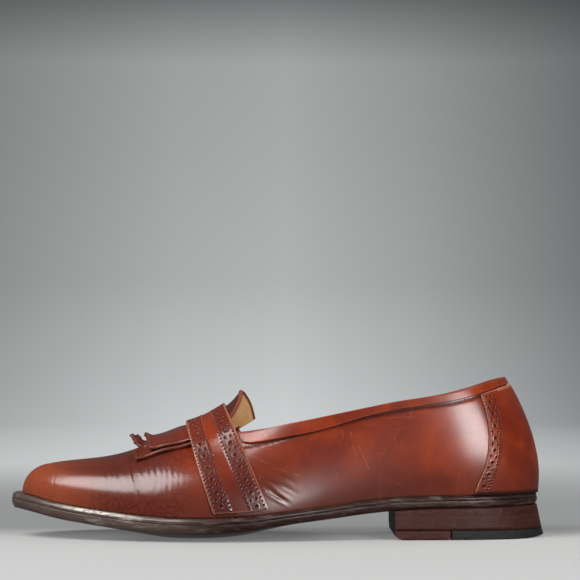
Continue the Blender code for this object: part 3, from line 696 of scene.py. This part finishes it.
def pressCreases(piece, creases):
    # soft troughs with a low ridge on either side, deepest in the middle of their length; also returns a
    # painted shade for each point, most along each trough
    tree = treeOf(piece)
    spots = places(piece)
    normals = facings(piece)
    outer = onShell(piece, 0)
    moved = np.zeros(len(spots))
    shade = np.zeros(len(spots))
    for line, width, depth, sides in creases:
        for side in sides:
            path = []
            for (xa, za), (xb, zb) in zip(line, line[1:]):
                for k in range(12):
                    x = (xa + (xb - xa) * k / 12) * mm
                    z = (za + (zb - za) * k / 12) * mm
                    seen = castSide(tree, x, z, side)
                    if seen:
                        path.append(seen[0])
            if len(path) < 3:
                continue
            path = np.array([spot[:] for spot in path])
            reach = 4 * width * mm
            near = outer & np.all(spots > path.min(0) - reach, 1) & np.all(spots < path.max(0) + reach, 1)
            picked = np.nonzero(near)[0]
            gaps = np.linalg.norm(spots[picked][:, None] - path[None], axis=2)
            nearest = gaps.argmin(1)
            gap = gaps.min(1) / (width * mm)
            along = nearest / (len(path) - 1)
            strength = np.sin(np.pi * np.clip(along, 0.02, 0.98)) ** 0.6
            trough = -np.exp(-(gap ** 2)) + 0.45 * np.exp(-((gap - 2.0) ** 2))
            moved[picked] += trough * strength * depth * mm
            shade[picked] += np.exp(-(gap ** 2) * 1.5) * strength * depth
    setPlaces(piece, spots + normals * moved[:, None])
    return shade


upper = copyNode("upper", "upperLeatherShell")
findShells(upper)
smoothen(upper, upperShape["levels"])
refine(upper, lambda face: face.material_index == 0, 1)
creased = pressCreases(upper, upperShape["creases"])
upperTree = treeOf(upper)


collarShape = {
    "front": 8.3 * mm,
    "back": 5.0 * mm,
    "frontX": -20 * mm,
    "narrowX": 45 * mm,
    "step": 1.75 * mm,
    "length": 0.146,
    "top": 0.092,
    "search": 0.0006,
}


def collarLine(tree, drop, side):
    # along the collar, this far below its rim
    path = []
    for k in range(221):
        x = collarShape["frontX"] + collarShape["length"] * k / 220
        found = None
        for step in range(60):
            found = castSide(tree, x, collarShape["top"] - step * collarShape["search"], side)
            if found:
                break
        if found:
            seen = castSide(tree, x, found[0].z - drop(x), side)
            if seen:
                path.append(seen)
    return path


def bandDrop(x):
    share = (x - collarShape["frontX"]) / (collarShape["narrowX"] - collarShape["frontX"])
    share = min(max(share, 0.0), 1.0)
    share = share * share * (3 - 2 * share)
    return collarShape["front"] + (collarShape["back"] - collarShape["front"]) * share


def nearLines(piece, lines, reach):
    # distance of each point to these lines, up to the reach
    beads = [spot for line in lines for spot, _, _ in evenly(line, 0.4 * mm)]
    tree = KDTree(len(beads))
    for k, spot in enumerate(beads):
        tree.insert(spot, k)
    tree.balance()
    return np.array([min(tree.find(spot)[2], reach) for spot in places(piece)])


collarRows = [collarLine(upperTree, bandDrop, side) for side in (-1, 1)]
seamGap = nearLines(upper, collarRows, upperShape["seamReach"])
seam = bell(seamGap, 0, upperShape["seamWidth"]) * onShell(upper, 0)
setPlaces(upper, places(upper) - facings(upper) * (seam * upperShape["seamDepth"])[:, None])
# painted shade: the creases are darkened in colour through the dark attribute
creased = np.minimum(creased * upperShape["creaseShade"], upperShape["creaseShadeMost"])
# painted shade in the collar seam's groove, added to the crease shade
paint(upper, "dark", creased + seam * upperShape["seamShade"])
paint(upper, "worn", 0)
spots = places(upper)
length = spots[:, 0]
onVamp = rising(length, *upperShape["vampFront"]) * falling(length, *upperShape["vampBack"])
# painted shade: the upward-facing top of the vamp is darkened, as the light falls from the front and side
upward = rising(facings(upper)[:, 2], *upperShape["vampTopFacing"])
tone = upward * onVamp * upperShape["vampTopShade"]
quarter = rising(length, *upperShape["quarterFront"]) * falling(length, *upperShape["quarterBack"])
tone += quarter * falling(spots[:, 2], *upperShape["quarterTop"]) * upperShape["quarterTone"]
behind = rising(length, *upperShape["strapFront"]) * falling(length, *upperShape["strapBack"])
tone = np.maximum(tone, behind * upperShape["strapTone"])
paint(upper, "tone", tone)
rim = sorted((spot.x, spot.z + bandDrop(spot.x)) for spot, _ in collarRows[0])
rimX = [x for x, z in rim]
rimZ = [z for x, z in rim]
above = spots[:, 2] - np.interp(length, rimX, rimZ) + upperShape["facingWidth"]
paint(upper, "facing", facingMask(above))  # leather strip inside the collar
finishPiece(upper, "upper", "upper_leather", upperLeather, liningLeather, upperLeather)
print("upper", len(upper.data.polygons))


strapShape = {
    "frontX": -51.2 * mm,
    "frontZ": 60.5 * mm,
    "frontLean": math.radians(20.0),
    "rearX": -27.9 * mm,
    "rearZ": 71.5 * mm,
    "rearLean": math.radians(23.5),
    "middle": 5.4 * mm,  # from the edge to the row of large holes
    "rows": 4.0 * mm,  # from there to the fine rows
    "large": 2.0 * mm,
    "small": 1.35 * mm,
    "fine": 1.1 * mm,
    "step": 8.3 * mm,
    "pair": 3.3 * mm,
    "fineStep": 2.4 * mm,
    "bandRise": 0.14 * mm,
    "bandWidth": 10.5 * mm,
    "turns": (math.radians(-32), math.radians(212)),
    "jump": 0.012,  # a farther spot isn't on the strap's own line
    "bandEdge": (0.9 * mm, 0.5 * mm),
    "bandEnd": (10.2 * mm, 0.7 * mm),
    "bandTone": 0.45,
    "edgeWear": (0.35 * mm, 0.7),
    "lineAt": (1.35 * mm, 0.3 * mm),
    "lineWear": 0.35,
}


def strapGaps(spots, shape):
    # distances from the front edge and from the rear edge
    front = shape["frontX"] + np.tan(shape["frontLean"]) * (shape["frontZ"] - spots[:, 2])
    rear = shape["rearX"] + np.tan(shape["rearLean"]) * (shape["rearZ"] - spots[:, 2])
    return (
        (spots[:, 0] - front) * math.cos(shape["frontLean"]),
        (rear - spots[:, 0]) * math.cos(shape["rearLean"]),
    )


def strapLine(tree, shape, edge, inward):
    # a line over the foot at this distance inside the strap's front or rear edge
    lean = shape[edge + "Lean"]
    shift = inward / math.cos(lean) * (1 if edge == "front" else -1)
    first, last = shape["turns"]
    path = []
    for k in range(241):
        turn = first + (last - first) * k / 240
        seen = castLeaning(tree, shape[edge + "X"] + shift, shape[edge + "Z"], lean, turn)
        if seen and (not path or (seen[0] - path[-1][0]).length < shape["jump"]):
            path.append(seen)
    return path


def brogueHoles(middle, inner, outer, shape):
    # large holes along the middle, pairs of small ones halfway, fine rows on both sides
    holes = []
    for spot, normal, along in evenly(middle, shape["step"], shape["step"] * 0.45):
        holes.append((spot, shape["large"] / 2))
    for spot, normal, along in evenly(middle, shape["step"], shape["step"] * 0.95):
        across = along.cross(normal)
        holes.append((spot + across * shape["pair"] / 2, shape["small"] / 2))
        holes.append((spot - across * shape["pair"] / 2, shape["small"] / 2))
    for row in (inner, outer):
        for spot, normal, along in evenly(row, shape["fineStep"], 0.6 * mm):
            holes.append((spot, shape["fine"] / 2))
    return holes


def brogueBands(lineAt, tree, shape, kinds):
    # all holes, and the fine rows that the stitches follow
    holes = []
    rows = []
    for kind in kinds:
        lines = [lineAt(tree, shape, kind, shape["middle"] + k * shape["rows"]) for k in (0, -1, 1)]
        holes += brogueHoles(*lines, shape)
        rows += lines[1:]
    return holes, rows


# in shares of a hole's radius, but for the burr's height
holeShape = {
    "reach": 2.0,
    "wall": 0.62,
    "slope": 0.5,
    "burr": 0.09 * mm,
    "burrAt": 1.35,
    "burrWidth": 0.25,
}


def punch(piece, holes, depth=0.7 * mm):
    # pushes the points inside each hole inwards, with a slightly raised burr around it; returns how far
    # each point lies inside a hole, painted dark as the shade in the hole
    spots = places(piece)
    normals = facings(piece)
    outer = onShell(piece, 0)
    tree = KDTree(len(holes))
    for k, (spot, radius) in enumerate(holes):
        tree.insert(spot, k)
    tree.balance()
    dark = np.zeros(len(spots))
    moved = np.zeros(len(spots))
    for k in np.nonzero(outer)[0]:
        best = 9.0
        size = 1.0
        for _, hole, gap in tree.find_n(spots[k], 3):
            radius = holes[hole][1]
            if gap / radius < best:
                best = gap / radius
                size = radius
        if best < holeShape["reach"]:
            inside = 1 - min(max((best - holeShape["wall"]) / holeShape["slope"], 0.0), 1.0)
            dark[k] = inside
            moved[k] = -min(depth, size * 1.1) * inside
            burr = math.exp(-((best - holeShape["burrAt"]) / holeShape["burrWidth"]) ** 2)
            moved[k] += holeShape["burr"] * burr
    setPlaces(piece, spots + normals * moved[:, None])
    return dark


strap = copyNode("strap", "strapLeatherBand", crease=0.85)
findShells(strap)
smoothen(strap, 3)


def inBand(face):
    if face.material_index != 0:
        return False
    front, rear = strapGaps(np.array([face.center[:]]), strapShape)
    return min(front[0], rear[0]) < strapShape["bandWidth"]


refine(strap, inBand, 2)
spots = places(strap)
outer = onShell(strap, 0)
front, rear = strapGaps(spots, strapShape)
gap = np.minimum(front, rear)
inside = rising(gap, *strapShape["bandEdge"]) * falling(gap, *strapShape["bandEnd"])
lifted = inside * strapShape["bandRise"] * outer
setPlaces(strap, spots + facings(strap) * lifted[:, None])
holes, strapRows = brogueBands(strapLine, treeOf(strap), strapShape, ("front", "rear"))
dark = punch(strap, holes)
# pale edge: partly wear, partly a painted highlight along the strap's rounded edge
rubbed = edgeWear(toEdge(strap, edgeReach), strapShape)
rubbed += bell(gap, *strapShape["lineAt"]) * strapShape["lineWear"] * outer
# painted shade in the punched holes
paint(strap, "dark", dark)
paint(strap, "tone", inside * outer * strapShape["bandTone"])
paint(strap, "worn", rubbed * (1 - dark))
finishPiece(strap, "strap", "strap_leather", strapLeather, strapLeather, cutEdge)
print("strap", len(strap.data.polygons), "holes", len(holes))


counterShape = {
    "x": 118.1 * mm,
    "z": 58.0 * mm,
    "tall": 30.0 * mm,
    "bowTop": 6.3 * mm,
    "bowBottom": 7.9 * mm,
    "middle": 4.5 * mm,
    "rows": 3.2 * mm,
    "large": 1.9 * mm,
    "small": 1.3 * mm,
    "fine": 1.05 * mm,
    "step": 7.0 * mm,
    "pair": 3.2 * mm,
    "fineStep": 1.9 * mm,
    "strip": 8.6 * mm,
    "heights": (16.0 * mm, 82.0 * mm),
    "search": 0.97,  # share of a distance inwards that shows from the side
    "fineTo": 0.011,
    "stripEdge": (0.7 * mm, 0.5 * mm),
    "stripFade": 0.7 * mm,
    "stripRise": 0.3 * mm,
    "lowered": 1.9 * mm,  # its foot, down to the heel seat
    "loweredFrom": (31.5 * mm, 3.5 * mm),
    "footDark": (27.2 * mm, 1.0 * mm),
    "holeDepth": 0.6 * mm,
    "edgeWear": (0.4 * mm, 0.8),
}


def counterEdge(z, shape):
    over = z - shape["z"]
    bow = shape["bowTop"] if over > 0 else shape["bowBottom"]
    return shape["x"] - bow * (over / shape["tall"]) ** 2


def counterLine(tree, shape, side, inward):
    low, high = shape["heights"]
    path = []
    for k in range(121):
        z = low + (high - low) * k / 120
        seen = castSide(tree, counterEdge(z, shape) + inward * shape["search"], z, side)
        if seen:
            path.append(seen)
    return path


counter = copyNode("counter", "counterLeather", crease=0.85)
findShells(counter)
smoothen(counter, 2)


def inStrip(face):
    end = counterEdge(face.center.z, counterShape) + counterShape["fineTo"]
    return face.material_index == 0 and face.center.x < end


refine(counter, inStrip, 4)
spots = places(counter)
outer = onShell(counter, 0)
behind = spots[:, 0] - np.array([counterEdge(z, counterShape) for z in spots[:, 2]])
strip = rising(behind, *counterShape["stripEdge"])
strip = strip * falling(behind, counterShape["strip"], counterShape["stripFade"])
lifted = strip * outer * counterShape["stripRise"]
setPlaces(counter, spots + facings(counter) * lifted[:, None])
counterTree = treeOf(counter)
spots = places(counter)
spots[:, 2] -= counterShape["lowered"] * falling(spots[:, 2], *counterShape["loweredFrom"])
setPlaces(counter, spots)
holes, counterRows = brogueBands(counterLine, counterTree, counterShape, (-1, 1))
dark = punch(counter, holes, counterShape["holeDepth"])
# painted shade on the counter's foot where it meets the heel seat, and in its holes
foot = falling(places(counter)[:, 2], *counterShape["footDark"])
paint(counter, "dark", np.maximum(dark, foot))
paint(counter, "worn", edgeWear(toEdge(counter, edgeReach), counterShape))
finishPiece(counter, "counter", "upper_leather", upperLeather, upperLeather, cutEdge)
print("counter", len(counter.data.polygons))


bindingShape = {"edgeWear": (0.35 * mm, 0.15)}

band = copyNode("collar_band", "collarBinding", crease=0.95)
findShells(band)
smoothen(band, 3)
paint(band, "dark", 0)
paint(band, "worn", edgeWear(toEdge(band, edgeReach), bindingShape))
finishPiece(band, "collar_band", "upper_leather", upperLeather, upperLeather, upperLeather)

tongueShape = {
    "heart": (0.004, 0.005, 0.045),  # inside the foot, behind the face that is looked at
    "edgeReach": 4 * mm,
    "roll": 0.45 * mm,
    "rollAt": (0.8 * mm, 0.6 * mm),
    "groove": 0.30 * mm,
    "grooveAt": (2.3 * mm, 0.35 * mm),
    "grooveShade": 0.6,
    "dark": 0.3,
    "tone": 0.6,
    "border": 1.3 * mm,
    "edgeWear": (0.5 * mm, 0.3),
}

tongue = copyNode("tongue", "tongueLeather", crease=0.5)
findShells(tongue)
backX, heartY, heartZ = tongueShape["heart"]
for face in tongue.data.polygons:
    heart = Vector((face.center.x + backX, heartY, heartZ))
    if face.normal.dot(face.center - heart) < -0.002:
        face.material_index = 1
smoothen(tongue, 3)
spots = places(tongue)
edgeGap = toEdge(tongue, tongueShape["edgeReach"])
outer = onShell(tongue, 0)
groove = bell(edgeGap, *tongueShape["grooveAt"])
roll = tongueShape["roll"] * bell(edgeGap, *tongueShape["rollAt"]) - tongueShape["groove"] * groove
setPlaces(tongue, spots + facings(tongue) * (roll * outer)[:, None])
# painted shade in the groove along the edge; the whole outer face is also darker
paint(tongue, "dark", np.maximum(groove * tongueShape["grooveShade"], outer * tongueShape["dark"]))
paint(tongue, "tone", outer * tongueShape["tone"])
paint(tongue, "facing", facingMask(tongueShape["border"] - edgeGap))
paint(tongue, "worn", edgeWear(edgeGap, tongueShape))
finishPiece(tongue, "tongue", "kiltie_leather", kiltieLeather, liningLeather, kiltieLeather)


def shadeUnder(spots, cover, reach):
    # grows to 1 for the points that lie close to the cover
    tree = treeOf(cover)
    gaps = np.array([tree.find_nearest(spot, reach)[3] or reach for spot in spots])
    return np.clip(1 - gaps / reach, 0, 1) ** 0.7


flapShape = {
    "lowAt": (0.066, 0.004),  # the part in front of the strap
    "swell": 0.25 * mm,
    "swellWaves": (3.1 * mm, 9 * mm),
    "ripple": 0.15 * mm,
    "rippleWave": 2.3 * mm,
    "curl": 0.35 * mm,
    "curlWidth": 1.6 * mm,
    "lip": 0.4 * mm,
    "lipAt": (0.7 * mm, 0.6 * mm),
    "shadeReach": 1.5 * mm,
    "shade": 0.8,
    "edgeWear": (0.3 * mm, 0.12),
}

for node, name in (("kiltie_lower", "kiltieLongFringe"), ("kiltie_short", "kiltieShortFringe")):
    flap = copyNode(node, name, crease=0.45)
    findShells(flap)
    smoothen(flap, 3)
    edgeGap = toEdge(flap, edgeReach)
    spots = places(flap)
    low = falling(spots[:, 2], *flapShape["lowAt"])
    waveX, waveY = flapShape["swellWaves"]
    swell = np.sin(spots[:, 0] / waveX + spots[:, 1] / waveY) * flapShape["swell"]
    swell += np.sin(spots[:, 1] / flapShape["rippleWave"]) * flapShape["ripple"]
    curl = bell(edgeGap, 0, flapShape["curlWidth"]) * flapShape["curl"]
    lip = bell(edgeGap, *flapShape["lipAt"]) * onShell(flap, 0) * low * flapShape["lip"]
    moved = spots + np.array([0.0, 0.0, 1.0]) * ((swell + curl) * low)[:, None]
    setPlaces(flap, moved + facings(flap) * lip[:, None])
    shaded = 0
    if node == "kiltie_lower":
        shaded = shadeUnder(spots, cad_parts["kiltie_short"], flapShape["shadeReach"])
    paint(flap, "dark", shaded * flapShape["shade"])
    paint(flap, "worn", edgeWear(edgeGap, flapShape))
    finishPiece(flap, node, "kiltie_leather", kiltieLeather, kiltieLeather, kiltieLeather)
print("collar, tongue and kiltie")


soleShape = {
    "jointReach": 0.75 * mm,
    "jointFill": 0.33 * mm,
    "upright": 0.35,
    "breast": (0.5, 0.3),
    "breastShade": 0.85,
    # the scuffed stretch of the welt, beside the toe on the outer side
    "scuffFront": (-0.124, 0.015),
    "scuffBack": (-0.072, 0.02),
    "scuffSide": 0.01,
}


def fillJoint(layer, neighbour):
    # brings the edge of a layer out beside its neighbour, so that only a fine line is left
    tree = treeOf(neighbour)
    for vertex in layer.data.vertices:
        flat = Vector((vertex.normal.x, vertex.normal.y, 0))
        outward = flat.dot(Vector((vertex.co.x, vertex.co.y, 0))) > 0
        near = tree.find_nearest(vertex.co)[3] < soleShape["jointReach"]
        if near and outward and flat.length > soleShape["upright"]:
            vertex.co += flat.normalized() * soleShape["jointFill"]


for node, name, slot, material, levels in (
    ("outsole", "outsoleEdge", "sole_leather", outsoleFinish, 2),
    ("welt", "weltStrip", "welt_leather", weltFinish, 2),
    ("heel_stack", "heelStack", "heel_leather", heelLeather, 2),
    ("top_lift_leather", "topLiftLeather", "heel_leather", heelLeather, 2),
    ("top_lift_rubber", "topLiftRubber", "heel_rubber", heelRubber, 2),
):
    layer = copyNode(node, name, crease=1.0, sharp=35)
    if node in ("outsole", "welt"):
        fillJoint(layer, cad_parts["welt" if node == "outsole" else "outsole"])
    smoothen(layer, levels)
    # painted shadow on the heel's breast, which faces the toe and lies in the shoe's shadow
    breast = rising(-facings(layer)[:, 0], *soleShape["breast"]) * (slot == "heel_leather")
    paint(layer, "dark", breast * soleShape["breastShade"])
    rubbed = 0
    if node == "welt":
        spots = places(layer)
        facing = facings(layer)
        brink = rising(facing[:, 2], 0, 0.5) * rising(np.hypot(facing[:, 0], facing[:, 1]), 0, 0.4)
        scuffed = rising(spots[:, 0], *soleShape["scuffFront"])
        scuffed = scuffed * falling(spots[:, 0], *soleShape["scuffBack"])
        rubbed = brink * scuffed * rising(-spots[:, 1], 0, soleShape["scuffSide"])
    paint(layer, "worn", rubbed)
    finishPiece(layer, node, slot, material)
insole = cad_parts["insole"]
insole.data.materials[0] = liningLeather
print("sole and heel")


def placeCopy(model, axes, spot):
    # a copy with its own mesh, turned to these three directions
    turn = Matrix(axes).transposed().to_4x4()
    turn.translation = spot
    made = bpy.data.objects.new(model.name, model.data.copy())
    made.data.transform(turn)
    scene.collection.objects.link(made)
    return made


def modelStitch(length, radius):
    # one thread: a slim capsule that lies along X
    bpy.ops.object.select_all(action="DESELECT")
    bpy.ops.mesh.primitive_uv_sphere_add(
        segments=8, ring_count=6, radius=radius, rotation=(0, math.pi / 2, 0)
    )
    stitch = bpy.context.object
    bpy.ops.object.transform_apply(location=False, rotation=True, scale=False)
    for vertex in stitch.data.vertices:
        vertex.select = vertex.co.x > 1e-6
    bpy.ops.object.mode_set(mode="EDIT")
    bpy.ops.transform.translate(value=(length / 2 - radius, 0, 0))
    bpy.ops.mesh.select_all(action="INVERT")
    bpy.ops.transform.translate(value=(radius - length / 2, 0, 0))
    bpy.ops.object.mode_set(mode="OBJECT")
    bpy.ops.object.shade_smooth()
    return stitch


def sew(name, rows, material, slot, step, length, radius, lift, start=0.0):
    # a stitch at each step along the rows, its middle this far above the leather
    model = modelStitch(length, radius)
    made = []
    for row in rows:
        for spot, normal, along in evenly(row, step, start):
            across = normal.cross(along).normalized()
            normal = along.cross(across)
            made.append(placeCopy(model, (along, across, normal), spot + normal * lift))
    bpy.data.objects.remove(model)
    thread = join(made, name)
    finishPiece(thread, None, slot, material)
    return thread


sew(
    "strapStitches", strapRows, brownThread, "strap_leather",
    step=strapShape["fineStep"], length=1.7 * mm, radius=0.20 * mm, lift=0.04 * mm, start=1.8 * mm,
)
sew(
    "counterStitches", counterRows, brownThread, "upper_leather",
    step=counterShape["fineStep"], length=1.2 * mm, radius=0.20 * mm, lift=0.04 * mm, start=1.55 * mm,
)
sew(
    "collarStitches", collarRows, blackThread, "upper_leather",
    step=collarShape["step"], length=1.35 * mm, radius=0.36 * mm, lift=0.16 * mm, start=1.0 * mm,
)

weltShape = {
    "inward": 2.0 * mm,
    "step": 3.3 * mm,
    "first": 118,
    "last": 242,
    "heart": (-0.080, 0.0, 0.1),  # above the ball of the foot
    "reach": 0.090,
    "search": 0.0004,
    "upward": 0.5,
}


def weltRow(shape, layer):
    # along the top of the welt around the forepart, a little inside its edge
    path = []
    for k in range(301):
        turn = math.radians(shape["first"] - 90 + (shape["last"] - shape["first"] + 180) * k / 300)
        ray = Vector((math.cos(turn), math.sin(turn), 0.0))
        heart = Vector(shape["heart"])
        for step in range(200):
            reach = shape["reach"] - step * shape["search"]
            spot = layer.ray_cast(heart + ray * reach, Vector((0, 0, -1)))[0]
            if spot:
                seen = layer.ray_cast(heart + ray * (reach - shape["inward"]), Vector((0, 0, -1)))
                if seen[0] and seen[1].z > shape["upward"]:
                    path.append((seen[0], seen[1]))
                break
    return path


weltTree = treeOf(bpy.data.objects["weltStrip"])
sew(
    "weltStitches", [weltRow(weltShape, weltTree)], weltThread, "welt_leather",
    step=weltShape["step"], length=2.6 * mm, radius=0.36 * mm, lift=0.06 * mm,
)

seatShape = {
    "first": 38.0 * mm,
    "last": 112.0 * mm,
    "step": 1.12 * mm,
    "tall": 2.6 * mm,
    "wide": 0.75 * mm,
    "deep": 0.5 * mm,
    "round": 0.2 * mm,
    "height": 19.3 * mm,
    "climb": 0.016,  # the seat's rise per length
    "fadeIn": 0.006,
    "fadeInFrom": 0.3,
    "fadeOut": 0.03,
    "sink": 0.22 * mm,
    "bedded": 0.08 * mm,
}


def wheelMarks(shape, layers):
    # fine upright ribs pressed along the heel seat
    bpy.ops.object.select_all(action="DESELECT")
    bpy.ops.mesh.primitive_cube_add(size=1.0, scale=(shape["wide"], shape["deep"], shape["tall"]))
    rib = bpy.context.object
    bpy.ops.object.transform_apply(location=False, rotation=False, scale=True)
    bpy.ops.object.mode_set(mode="EDIT")
    bpy.ops.mesh.bevel(offset=shape["round"], segments=2)
    bpy.ops.object.mode_set(mode="OBJECT")
    bpy.ops.object.shade_smooth()
    made = []
    for side in (-1, 1):
        x = shape["first"]
        while x < shape["last"]:
            walked = x - shape["first"]
            fade = walked / shape["fadeIn"] + shape["fadeInFrom"]
            fade = min(fade, (shape["last"] - x) / shape["fadeOut"], 1.0)
            foot = castSide(layers, x, shape["height"] + walked * shape["climb"], side)
            x += shape["step"]
            if not foot:
                continue
            spot, normal = foot
            flat = Vector((normal.x, normal.y, 0)).normalized()
            up = Vector((0, 0, 1))
            spot = spot + flat * ((fade - 1.0) * shape["sink"] - shape["bedded"])
            made.append(placeCopy(rib, (up.cross(flat), flat, up), spot))
    bpy.data.objects.remove(rib)
    marks = join(made, "heelSeatMarks")
    paint(marks, "dark", 0)
    paint(marks, "worn", 0)
    finishPiece(marks, None, "sole_leather", seatFinish)


wheelMarks(seatShape, treeOf(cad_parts["outsole"]))
print("stitches")


stageLook = {
    "radius": 3.2,
    "height": 3.4,
    "cove": 0.25,
    # where the floor's painted shade changes, along Y
    "bendNear": -0.01,
    "bendFar": 0.07,
    "floorNear": (0.24, 0.24, 0.238),
    "floorFar": (0.15, 0.152, 0.152),
    # the floor's own glow, a painted fill light
    "floorGlowNear": (0.19, 0.19, 0.188),
    "floorGlowFar": (0.08, 0.081, 0.081),
    "glowFrom": 0.20,
    "glowTo": 1.1,
    # painted shadow: the floor's own glow is dimmed right under the ball of the foot
    "underAt": -0.03,
    "underAlong": (0.075, 0.035),
    "underAcross": (0.055, 0.030),
    "underShare": 0.3,
    # the wall's glow up the wall and across it, against height and X in metres: a painted falloff of the
    # studio light
    "upwards": (
        (0.00, (0.60, 0.62, 0.62)),
        (0.09, (0.54, 0.56, 0.56)),
        (0.20, (0.49, 0.50, 0.50)),
        (0.30, (0.43, 0.44, 0.44)),
        (0.60, (0.38, 0.39, 0.39)),
        (0.78, (0.36, 0.37, 0.37)),
        (0.92, (0.16, 0.17, 0.17)),
    ),
    "sideways": (
        (0.18, (0.60, 0.60, 0.60)),
        (0.38, (0.92, 0.92, 0.92)),
        (0.50, (1.0, 1.0, 1.0)),
        (0.64, (0.78, 0.78, 0.78)),
        (0.82, (0.40, 0.40, 0.41)),
    ),
}


def buildStage(look):
    # a round studio: a pale floor that turns up into a wall; floor and wall glow, and this glow and the
    # floor's tone paint the studio light's falloff
    bpy.ops.object.select_all(action="DESELECT")
    bpy.ops.mesh.primitive_circle_add(vertices=96, radius=look["radius"], fill_type="NGON")
    floor = bpy.context.object
    floor.name = "studioFloor"
    bpy.ops.object.mode_set(mode="EDIT")
    bpy.ops.mesh.select_mode(type="EDGE")
    bpy.ops.mesh.select_all(action="SELECT")
    bpy.ops.mesh.region_to_loop()
    bpy.ops.mesh.extrude_region_move(TRANSFORM_OT_translate={"value": (0, 0, look["height"])})
    bpy.ops.object.mode_set(mode="OBJECT")
    for edge in floor.data.edges:
        a, b = (floor.data.vertices[k].co for k in edge.vertices)
        edge.select = abs(a.z) < 1e-4 and abs(b.z) < 1e-4 and abs(a.length - look["radius"]) < 1e-3
    bpy.ops.object.mode_set(mode="EDIT")
    bpy.ops.mesh.bevel(offset=look["cove"], segments=8, profile=0.5)
    bpy.ops.mesh.select_all(action="SELECT")
    bpy.ops.mesh.normals_make_consistent(inside=True)
    bpy.ops.object.mode_set(mode="OBJECT")
    bpy.ops.object.shade_smooth_by_angle(angle=math.radians(40))
    made = Finish("studioGrey")
    across = made.axis("X")
    depth = made.axis("Y")
    height = made.axis("Z")
    fine = made.speckle(400, 2, 0.5)
    # painted shade: the floor is paler in front of the shoe and darker behind it, where the cove is less
    # lit
    front = made.between(depth, look["bendFar"], look["bendNear"])
    shade = made.blend(front, look["floorFar"], look["floorNear"])
    shade = made.blend(made.between(fine, 0.3, 0.7) * 0.04, shade, (0.3, 0.3, 0.3))
    # painted light: the wall glows brightest in the middle and darker up high and to the sides
    reach = made.node("ShaderNodeVectorMath", {"operation": "LENGTH"}, {0: made.place()}, "Value")
    tall = made.node("ShaderNodeValToRGB", {"stops": look["upwards"]}, {"Fac": height})
    wide = made.node("ShaderNodeValToRGB", {"stops": look["sideways"]}, {"Fac": across * 0.5 + 0.5})
    glow = made.blend(1.0, tall, wide, "MULTIPLY")
    shown = made.between(reach, look["glowFrom"], look["glowTo"])
    shown = shown * made.between(depth, -1.2, 0.0) * 0.9 + shown * 0.1
    under = made.between((across - look["underAt"]).size(), *look["underAlong"])
    under = under * made.between(depth.size(), *look["underAcross"])
    # painted light: the floor near the shoe glows to lift its shadows, more in front of it; under the
    # ball a painted shadow dims it
    air = made.blend(front, look["floorGlowFar"], look["floorGlowNear"])
    air = made.blend(under * look["underShare"], air, (0.0, 0.0, 0.0))
    glow = made.blend(shown, air, glow)
    shade = made.blend(made.between(reach, look["glowFrom"], look["glowTo"]), shade, (0.02, 0.02, 0.02))
    made.wire(Base_Color=shade, Roughness=0.9, Specular_IOR_Level=0.0)
    made.wire(Emission_Color=glow, Emission_Strength=1.0)
    floor.data.materials.append(made.material)
    floor.visible_glossy = False


def addLight(name, place, target, size, power, tall=None, mirrored=True):
    bpy.ops.object.light_add(type="AREA", location=place)
    lamp = bpy.context.object
    lamp.name = name
    lamp.data.shape = "RECTANGLE"
    lamp.data.size = size
    lamp.data.size_y = tall or size
    lamp.data.energy = power
    lamp.visible_glossy = mirrored
    lamp.rotation_euler = (Vector(target) - Vector(place)).to_track_quat("-Z", "Y").to_euler()


buildStage(stageLook)
addLight("overhead", (-0.72, -0.50, 1.1), (-0.05, 0.0, 0.03), size=0.80, power=25)
addLight("rightFront", (0.60, -1.0, 0.40), (0.08, 0.0, 0.05), size=0.34, power=11, tall=0.5)
addLight("softFill", (-0.75, -1.2, 0.8), (-0.05, 0.0, 0.0), size=1.4, power=5, mirrored=False)
addLight("rightBack", (0.7, 0.35, 0.7), (0.0, 0.0, 0.05), size=0.5, power=5, mirrored=False)

world = bpy.data.worlds.new("studioAir")
scene.world = world
world.use_nodes = True
air = world.node_tree.nodes["Background"]
air.inputs["Color"].default_value = (0.8, 0.86, 0.9, 1)
air.inputs["Strength"].default_value = 0.12

# a long lens that looks slightly up, both counted in points of a picture 580 wide
pictureWidth = 580
focalLength = 2002
lookUp = 90
cameraData = bpy.data.cameras.new("camera")
camera = bpy.data.objects.new("camera", cameraData)
scene.collection.objects.link(camera)
camera.location = (0.0072, -1.15, 0.089)
camera.rotation_euler = (math.radians(90) + math.atan(lookUp / focalLength), 0, 0)
cameraData.lens = focalLength * cameraData.sensor_width / pictureWidth
cameraData.clip_start = 0.01
scene.camera = camera
scene.view_settings.view_transform = "Standard"
